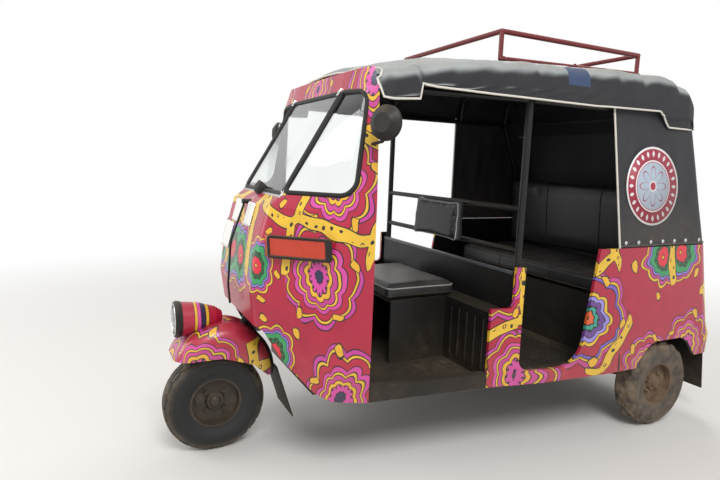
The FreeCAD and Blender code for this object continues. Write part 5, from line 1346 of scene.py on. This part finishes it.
# %% Side medallions
EMBLEM, EMBLEM_RADIUS = Vector((-0.720, 0, 1.163)), 0.176
EMBLEM_RED, EMBLEM_WHITE = "9E1B3C", "E9E4E4"
EMBLEM_BANDS = ((0.0, EMBLEM_RED), (0.10, EMBLEM_WHITE), (0.13, "A9B8C8"), (0.60, EMBLEM_RED), (0.62, EMBLEM_WHITE),
                (0.66, "8C1535"), (0.70, EMBLEM_RED), (0.945, "F0ECEC"))
RINGS = 8


def emblem_finish():
    """Crimson ring with pale petals round a pale blue middle, painted on the canvas."""
    material, add, shader = finish("painted_emblem", IOR=1.5)
    vector, x, _, z = places(add)
    across, high = add("Math.SUBTRACT", x, EMBLEM.x), add("Math.SUBTRACT", z, EMBLEM.z)
    square = add("Math.MULTIPLY_ADD", across, across, add("Math.MULTIPLY", high, high))
    reach = add("Math.DIVIDE", add("Math.SQRT", square), EMBLEM_RADIUS)
    angle = add("Math.ARCTAN2", high, across)
    paint = add("ValToRGB", reach, stops=EMBLEM_BANDS)[0]
    petal_line = add("Math.MULTIPLY_ADD", add("Math.ABSOLUTE", waves(add, angle, 4.0)), 0.32, 0.18)
    off_petal = add("Math.ABSOLUTE", add("Math.SUBTRACT", reach, petal_line))
    petals = add("Math.MULTIPLY", add("Math.LESS_THAN", off_petal, 0.018), between(add, reach, 0.14, 0.59))
    paint = add("Mix.RGBA", petals, paint, colour(EMBLEM_RED))
    off_ring = add("Math.ABSOLUTE", add("Math.SUBTRACT", reach, 0.82))
    drop = add("Math.SUBTRACT", add("Math.MULTIPLY", waves(add, angle, 24.0), 0.09), off_ring)
    paint = add("Mix.RGBA", add("Math.GREATER_THAN", drop, 0.012), paint, colour(EMBLEM_WHITE))
    dusty(add, shader, paint, 0.45, 0.9, 1.3, 0.04, 0.2, 0.1)
    weave = add("TexNoise", vector, Scale=300.0, Detail=2.0)[0]
    add("Bump", Distance=0.0002, Height=weave, to=shader["Normal"])
    return material


emblem = bmesh.new()
bmesh.ops.create_circle(emblem, cap_ends=True, radius=EMBLEM_RADIUS, segments=72)
face = next(iter(emblem.faces))
for _ in range(RINGS - 1):
    bmesh.ops.inset_region(emblem, faces=[face], thickness=EMBLEM_RADIUS / RINGS)
for point in emblem.verts:
    start = Vector((EMBLEM.x + point.co.x, 1, EMBLEM.z + point.co.y))
    point.co = onto(wrap_solid, start, -LEFT) + LEFT * 0.0006
thicken(piece("side_medallions", both_sides(emblem), emblem_finish()), 0.001)

# %% [markdown]
# Turn buttons hold the canvas foot to the body: a low plate with a stud. They are rods that stand on the
# wrap, each pointing the way the canvas faces there, in one row from doorway to doorway.

# %% Canvas buttons
BUTTONS, BUTTON_ROW = 24, 0.035
behind_doors = Vector((-0.8, 0, 0))
buttons = bmesh.new()
for n in range(BUTTONS):
    share = 0.02 + n / (BUTTONS - 1) * 0.96
    spot, near = wrap_point(share, BUTTON_ROW), wrap_point(share + 0.004, BUTTON_ROW)
    way = Vector(((near - spot).y, -(near - spot).x, 0)).normalized()
    way = way if way.dot(spot - behind_doors) > 0 else -way
    rod(buttons, spot - way * 0.001, spot + way * 0.003, 0.009, 18, round_off=0.0008)
    rod(buttons, spot + way * 0.003, spot + way * 0.007, 0.004, 12, round_off=0.0008)
piece("canvas_buttons", buttons, chrome)

# %% [markdown]
# A black moulding frames each tail lamp, with a bar across it, and the body sides have a dark joint
# behind the step where two pressings meet. All are cords laid on the CAD metal by rays.

# %% Lamp frames and joints
tail = surface(merged("tail_lamps"))
side_panel = surface(merged("body_side_left"))
low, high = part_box("tail_lamps")
LAMP_SIDES, LAMP_BAR = (0.348, 0.422), 0.055
JOINT_FOOT, JOINT_HEAD = Vector((-0.566, 1, 0.330)), Vector((-0.560, 1, 0.410))


def on_tail(y, z):
    """The tail lamps' face at a place of the view from behind."""
    return onto(tail, Vector((-1.6, y, z)), FORWARD, 0.4) + FORWARD * 0.001


loop = rounded_loop((LAMP_SIDES[0], low.z + 0.003), (LAMP_SIDES[1], high.z - 0.003), 0.010, (1, 2), 0.0, each=3)
ring = cord([on_tail(p.y, p.z) for p in evenly(loop, 0.01)], 0.0062, closed=True)
bar = cord([on_tail(y, low.z + LAMP_BAR) for y in (0.350, 0.385, 0.420)], 0.0035)
piece("tail_lamp_frames", both_sides(added(ring, bar)), black_plastic)
joint = [onto(side_panel, JOINT_FOOT.lerp(JOINT_HEAD, n / 6), -LEFT) - LEFT * 0.001 for n in range(7)]
piece("body_joint", both_sides(cord(joint, 0.0065, flat=(LEFT, 0.35))), seal_rubber)

# %% [markdown]
# The handlebar has rubber grips with finger rings, and brake and clutch levers. The grips are spun
# outlines along the handlebar's own ends, found in the CAD mesh, and the levers are pressed cords with a
# clamp at their root. All of it turns with the steering.

# %% Grips and levers
GRIP_LONG, GRIP_RADIUS, FLANGE = 0.108, 0.0172, 0.0205
FINGER_RINGS, RING_STEP, RING_HIGH = 10, 0.0085, 0.0016
LEVER = ((0.012, 0.0), (0.028, 0.010), (0.036, 0.045), (0.034, 0.085), (0.030, 0.105))     # ahead of the bar, along it
bar_points = [v.co for v in cad["handlebar"].data.vertices]
bar_tip = max(p.y for p in bar_points)
bar_end = middle_of([p for p in bar_points if p.y > bar_tip - 0.001])
bar_inner = middle_of([p for p in bar_points if 0.150 < p.y < 0.175])
grip_way = (bar_end - bar_inner).normalized()
outline = [(0.0112, -GRIP_LONG), (FLANGE, -GRIP_LONG), (FLANGE, 0.005 - GRIP_LONG), (GRIP_RADIUS, 0.007 - GRIP_LONG)]
for n in range(FINGER_RINGS):
    start = -GRIP_LONG + 0.014 + n * RING_STEP
    outline += [(GRIP_RADIUS, start), (GRIP_RADIUS + RING_HIGH, start + 0.0015),
                (GRIP_RADIUS + RING_HIGH, start + 0.0045), (GRIP_RADIUS, start + 0.006)]
outline += [(GRIP_RADIUS, -0.002), (0.014, 0.001), (0.0, 0.0016)]
piece("grip_rubbers", both_sides(lathe(outline, bar_end, grip_way, 40)), seal_rubber, body="steering")

foot = bar_end - grip_way * (GRIP_LONG + 0.020)
lever_way = grip_way.cross(UP).normalized()
lever_way = lever_way if lever_way.x > 0 else -lever_way
lever_line = [foot + lever_way * out + grip_way * along for out, along in LEVER]
levers = cord(evenly(lever_line, 0.006, closed=False), 0.0055, flat=(UP, 0.7))
rod(levers, foot - grip_way * 0.012, foot + grip_way * 0.012, 0.0165, 24, round_off=0.002)
piece("levers", both_sides(levers), cast_alloy, body="steering")
print("bar end", [round(c, 3) for c in bar_end], "pointing", [round(c, 2) for c in grip_way])

# %% [markdown]
# A round speedometer stands on the shelf: a moulded housing, a printed dial and a domed glass, spun round
# one axis that looks back and up at the driver. The dial could be a picture; marks worked out from the
# angle and the distance from its middle stay sharp at any size. Ink on card is flat, so only the glass shines.

# %% Speedometer on the shelf
low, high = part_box("dashboard")
METER, METER_WAY = Vector((low.x + 0.026, 0.0, high.z + 0.026)), Vector((-0.72, 0, 0.69)).normalized()
HOUSING = ((0.0, -0.042), (0.024, -0.040), (0.036, -0.026), (0.040, 0.0), (0.040, 0.004), (0.0365, 0.005),
           (0.0355, 0.001), (0.0, 0.001))
DIAL_DISC = ((0.0, 0.0018), (0.0352, 0.0018))
DOME = ((0.0, 0.0062), (0.020, 0.0056), (0.0358, 0.0034), (0.0358, 0.0024), (0.020, 0.0044), (0.0, 0.005))
NEEDLE_AT, NEEDLE_HALF = 2.2, 0.06


def dial_finish():
    """White marks on black, by angle and distance from the dial's middle, with a red needle."""
    material, add, shader = finish("printed_dial", IOR=1.5, Roughness=0.3)
    vector, _, y, _ = places(add)
    away = add("VectorMath.SUBTRACT", vector, METER)
    up = add("VectorMath.DOT_PRODUCT", away, METER_WAY.cross(LEFT))
    distance = add("VectorMath.LENGTH", away)
    angle = add("Math.ARCTAN2", up, y)
    marks = add("Math.GREATER_THAN", waves(add, angle, 20.0), 0.8)
    marks = add("Math.MULTIPLY", marks, between(add, distance, 0.026, 0.032))
    paint = add("Mix.RGBA", marks, colour("101012"), colour("E6E6E2"))
    off_needle = add("Math.ABSOLUTE", add("Math.SUBTRACT", angle, NEEDLE_AT))
    needle = add("Math.MULTIPLY", add("Math.LESS_THAN", off_needle, NEEDLE_HALF), between(add, distance, 0.004, 0.027))
    add("Mix.RGBA", needle, paint, colour("C22A1E"), to=shader["Base Color"])
    return material


for name, outline, sides, material, slot in (("housing", HOUSING, 64, black_plastic, "black_plastic"),
                                             ("dial", DIAL_DISC, 64, dial_finish(), "black_plastic"),
                                             ("glass", DOME, 48, window_glass, "window_glass")):
    piece(f"speedometer_{name}", lathe(outline, METER, METER_WAY, sides), material)

# %% [markdown]
# The floor has two pedals on bent stalks at the foot of the bulkhead, each a cord with a tilted, ribbed
# block at its end. The ribs of the rubber mat are a row of thin rounded bars.

# %% Pedals and mat
bulk = surface(merged("bulkhead"))
PEDALS_AT, PAD_OUT, PAD_HIGH, PAD_TILT = (-0.10, -0.20), 0.080, 0.455, math.radians(-35)
MAT_RIBS, MAT_FROM, MAT_STEP, MAT_HALF = 21, -0.47, 0.021, 0.50
pedals, mat = bmesh.new(), bmesh.new()
for across in PEDALS_AT:
    wall = onto(bulk, Vector((0.4, across, 0.44)), FORWARD)
    pad = Vector((wall.x - PAD_OUT, across, PAD_HIGH))
    stalk = evenly([wall + FORWARD * 0.002, wall - FORWARD * 0.03, pad], 0.01, closed=False)
    pedals = added(pedals, cord(stalk, 0.007))
    turn = Matrix.Translation(pad) @ Matrix.Rotation(PAD_TILT, 4, "Y")
    block(pedals, (-0.006, -0.030, -0.034), (0.006, 0.030, 0.034), 0.004, turn)
    for rib in range(4):
        level = -0.022 + rib * 0.0147
        block(pedals, (-0.0085, -0.026, level - 0.003), (-0.005, 0.026, level + 0.003), 0.001, turn, segments=1)
piece("pedals", pedals, black_steel)
for n in range(MAT_RIBS):
    x = MAT_FROM + n * MAT_STEP
    block(mat, (x - 0.0055, -MAT_HALF, 0.3450), (x + 0.0055, MAT_HALF, 0.3565), 0.0018, segments=1)
piece("floor_mat_ribs", mat, flap_rubber)

# %% [markdown]
# The box behind the driver has pressed upright ribs and a bright painted highlight on its edge. A pressed rib is a cord
# half sunk in the sheet and flattened, and the highlight is a thin pale block along the sheet's head.

# %% Ribs and edge of the box
low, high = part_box("partition")
RIB_FOOT, RIB_HEAD, RIBS_FROM, RIB_STEP = 0.385, 0.600, 0.285, 0.055
ribs, ledge = bmesh.new(), bmesh.new()
for side in SIDES:
    for n in range(5):
        across = side * (RIBS_FROM + n * RIB_STEP)
        line = [Vector((high.x - 0.001, across, blend(RIB_FOOT, RIB_HEAD, k / 8))) for k in range(9)]
        ribs = added(ribs, cord(line, 0.0075, flat=(FORWARD, 0.7)))
piece("box_ribs", ribs, black_steel)
# a pale strip along the box's head: a painted highlight
block(ledge, (low.x - 0.0004, low.y, high.z - 0.012), (low.x + 0.014, high.y, high.z + 0.0012), 0.001)
piece("partition_edge", ledge, painted_edge_highlight)

# %% [markdown]
# At the back the engine hatch has rows of pressed louvres and a latch, which lift with it. A louvre is a
# flattened ball half sunk in the sheet, and the latch is a spun boss with a small bar across it.

# %% Hatch louvres and latch
hatch = surface(merged("engine_hatch"))
LOUVRE_SIZE, LOUVRES_AT, LOUVRE_FOOT, LOUVRE_STEP = (0.008, 0.095, 0.010), 0.135, 0.600, 0.030
LATCH_HIGH = 0.548


def on_hatch(y, z):
    """The hatch's skin at a place of the view from behind, its normal, and the move that stands a shape there."""
    spot, normal = hatch.ray_cast(Vector((-1.6, y, z)), FORWARD)[:2]
    return spot, normal, normal.to_track_quat("X", "Z").to_matrix().to_4x4()


louvres = bmesh.new()
for row in range(6):
    for side in SIDES:
        spot, normal, turn = on_hatch(side * LOUVRES_AT, LOUVRE_FOOT + row * LOUVRE_STEP)
        bmesh.ops.create_uvsphere(louvres, u_segments=24, v_segments=12, radius=1.0,
                                  matrix=Matrix.Translation(spot) @ turn @ Matrix.Diagonal((*LOUVRE_SIZE, 1)))
piece("hatch_louvres", louvres, body_paint, body="hatch")
spot, normal, turn = on_hatch(0, LATCH_HIGH)
latch = lathe([(0.0, 0.010), (0.014, 0.0095), (0.019, 0.006), (0.020, -0.001)], spot, normal, 40)
block(latch, (-0.004, -0.030, -0.006), (0.004, 0.030, 0.006), turn=Matrix.Translation(spot + normal * 0.012) @ turn)
piece("hatch_latch", latch, chrome, body="hatch")

# %% [markdown]
# The engine is air cooled, so its block carries cast fins at the back and on both sides. They are thin
# bevelled blocks at one pitch, a little longer than the CAD block on each side.

# %% Cooling fins
low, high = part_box("engine_block")
FINS, FIN_STEP, FIN_THICK = 9, 0.026, 0.005
fins = bmesh.new()
for n in range(FINS):
    z = low.z + 0.05 + n * FIN_STEP
    block(fins, (low.x - 0.006, low.y + 0.03, z), (low.x + 0.03, high.y - 0.03, z + FIN_THICK), 0.001, segments=1)
    for inner, outer in ((low.y - 0.012, low.y), (high.y, high.y + 0.012)):
        block(fins, (low.x + 0.03, inner, z), (low.x + 0.20, outer, z + FIN_THICK), 0.001, segments=1)
piece("engine_fins", fins, cast_alloy)

# %% [markdown]
# The rack is fixed with small clamps where its feet stand on the hoops, each a rounded plate with a bolt,
# and four bolts hold the bumper. Bolt heads are six-sided rods with a bevel.

# %% Rack clamps and bolts
low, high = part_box("roof_rack")
rack = surface(merged("roof_rack"))
clamps, bolts = bmesh.new(), bmesh.new()
for x in (low.x + 0.02, (low.x + high.x) / 2, high.x - 0.02):
    for side in SIDES:
        hit = onto(rack, Vector((x, side * 0.5, low.z + 0.006)), LEFT * -side, 0.11)
        block(clamps, hit - Vector((0.014, 0.010, 0.004)), hit + Vector((0.014, 0.010, 0.006)))
        rod(clamps, hit + UP * 0.004, hit + UP * 0.012, 0.0065, 6, round_off=0.0008)
piece("rack_clamps", clamps, rack_paint)
BUMPER_BOLTS, BOLT_HIGH = (-0.255, 0.255, -0.52, 0.52), 0.415
low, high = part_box("rear_bumper")
for y in BUMPER_BOLTS:
    rod(bolts, (low.x - 0.006, y, BOLT_HIGH), (low.x + 0.004, y, BOLT_HIGH), 0.009, 6, round_off=0.001)
piece("bumper_bolts", bolts, black_steel)

# %% [markdown]
# The studio is a pale floor and a world of soft light. The floor would render grey, because it is lit
# like everything else; so to the camera, to gloss and to glass it turns to plain white at strength 1 away
# from the vehicle, and near it keeps the shadow. A large lamp from the front left, one from the right and
# a weak one from behind give the round forms their shading.

# %% Floor and world
FADE_NEAR, FADE_FAR = 2.2, 5.5     # metres from the vehicle over which the floor turns to plain white
WORLD_STRENGTH = 0.55              # what lights the vehicle; seen directly, the world is 1


def seen_directly(add):
    """1 for the camera, for gloss and for glass, and 0 for the light that falls on things."""
    path = add("LightPath")
    seen = add("Math.ADD", path["Is Camera Ray"], path["Is Glossy Ray"])
    return add("Clamp", add("Math.ADD", seen, path["Is Transmission Ray"]))


# painted plaster: matt and pale, so that it takes a soft shadow and gives no reflection
floor_plaster, add, shader = finish("pale_studio_floor", "E2E0DC", Roughness=0.9)
away = add("VectorMath.LENGTH", places(add)[0])
white = add("Math.MULTIPLY", seen_directly(add), add("MapRange.SMOOTHSTEP", away, FADE_NEAR, FADE_FAR))
glow = add("Emission", colour("FFFFFF"), 1.0)
tree = floor_plaster.node_tree
lit = tree.nodes["Principled BSDF"].outputs[0]
add("MixShader", white, lit, glow, to=tree.nodes["Material Output"].inputs["Surface"])

ground = bmesh.new()
bmesh.ops.create_grid(ground, x_segments=1, y_segments=1, size=60.0)
mesh = bpy.data.meshes.new("studio_floor")
ground.to_mesh(mesh)
ground.free()
mesh.materials.append(floor_plaster)
studio_floor = bpy.data.objects.new("studio_floor", mesh)
scene.collection.objects.link(studio_floor)

scene.world = bpy.data.worlds.new("studio")
scene.world.use_nodes = True
sky = scene.world.node_tree.nodes["Background"].inputs
sky["Color"].default_value = colour("FFFFFF")
add = partial(node, scene.world.node_tree)
add("Math.MULTIPLY_ADD", seen_directly(add), 1 - WORLD_STRENGTH, WORLD_STRENGTH, to=sky["Strength"])
print("floor turns white from", FADE_NEAR, "to", FADE_FAR, "m")

# %% [markdown]
# Three round lamps, each 3 m across, light the vehicle from outside the picture. A small lamp would cut
# hard shadows; these are large for their distance, so shadows have soft edges as under a hazy sky.

# %% Lamps
LAMP_SIZE = 3.0
LAMPS = {                # place, what it aims at, power in watts
    "key": ((1.5, 4.5, 5.5), (0, 0, 0.8), 260),
    "fill": ((5.0, -1.5, 3.0), (0, 0, 0.8), 90),
    "back": ((-4.0, -3.5, 4.5), (0, 0, 0.9), 120),
}
for name, (place, aim, power) in LAMPS.items():
    data = bpy.data.lights.new(name, "AREA")
    data.shape, data.size, data.energy = "DISK", LAMP_SIZE, power
    item = bpy.data.objects.new(name, data)
    item.location = place
    item.rotation_mode = "QUATERNION"
    item.rotation_quaternion = (Vector(aim) - Vector(place)).to_track_quat("-Z", "Y")
    scene.collection.objects.link(item)
scene.view_settings.view_transform = "Standard"
print("lamps", list(LAMPS))
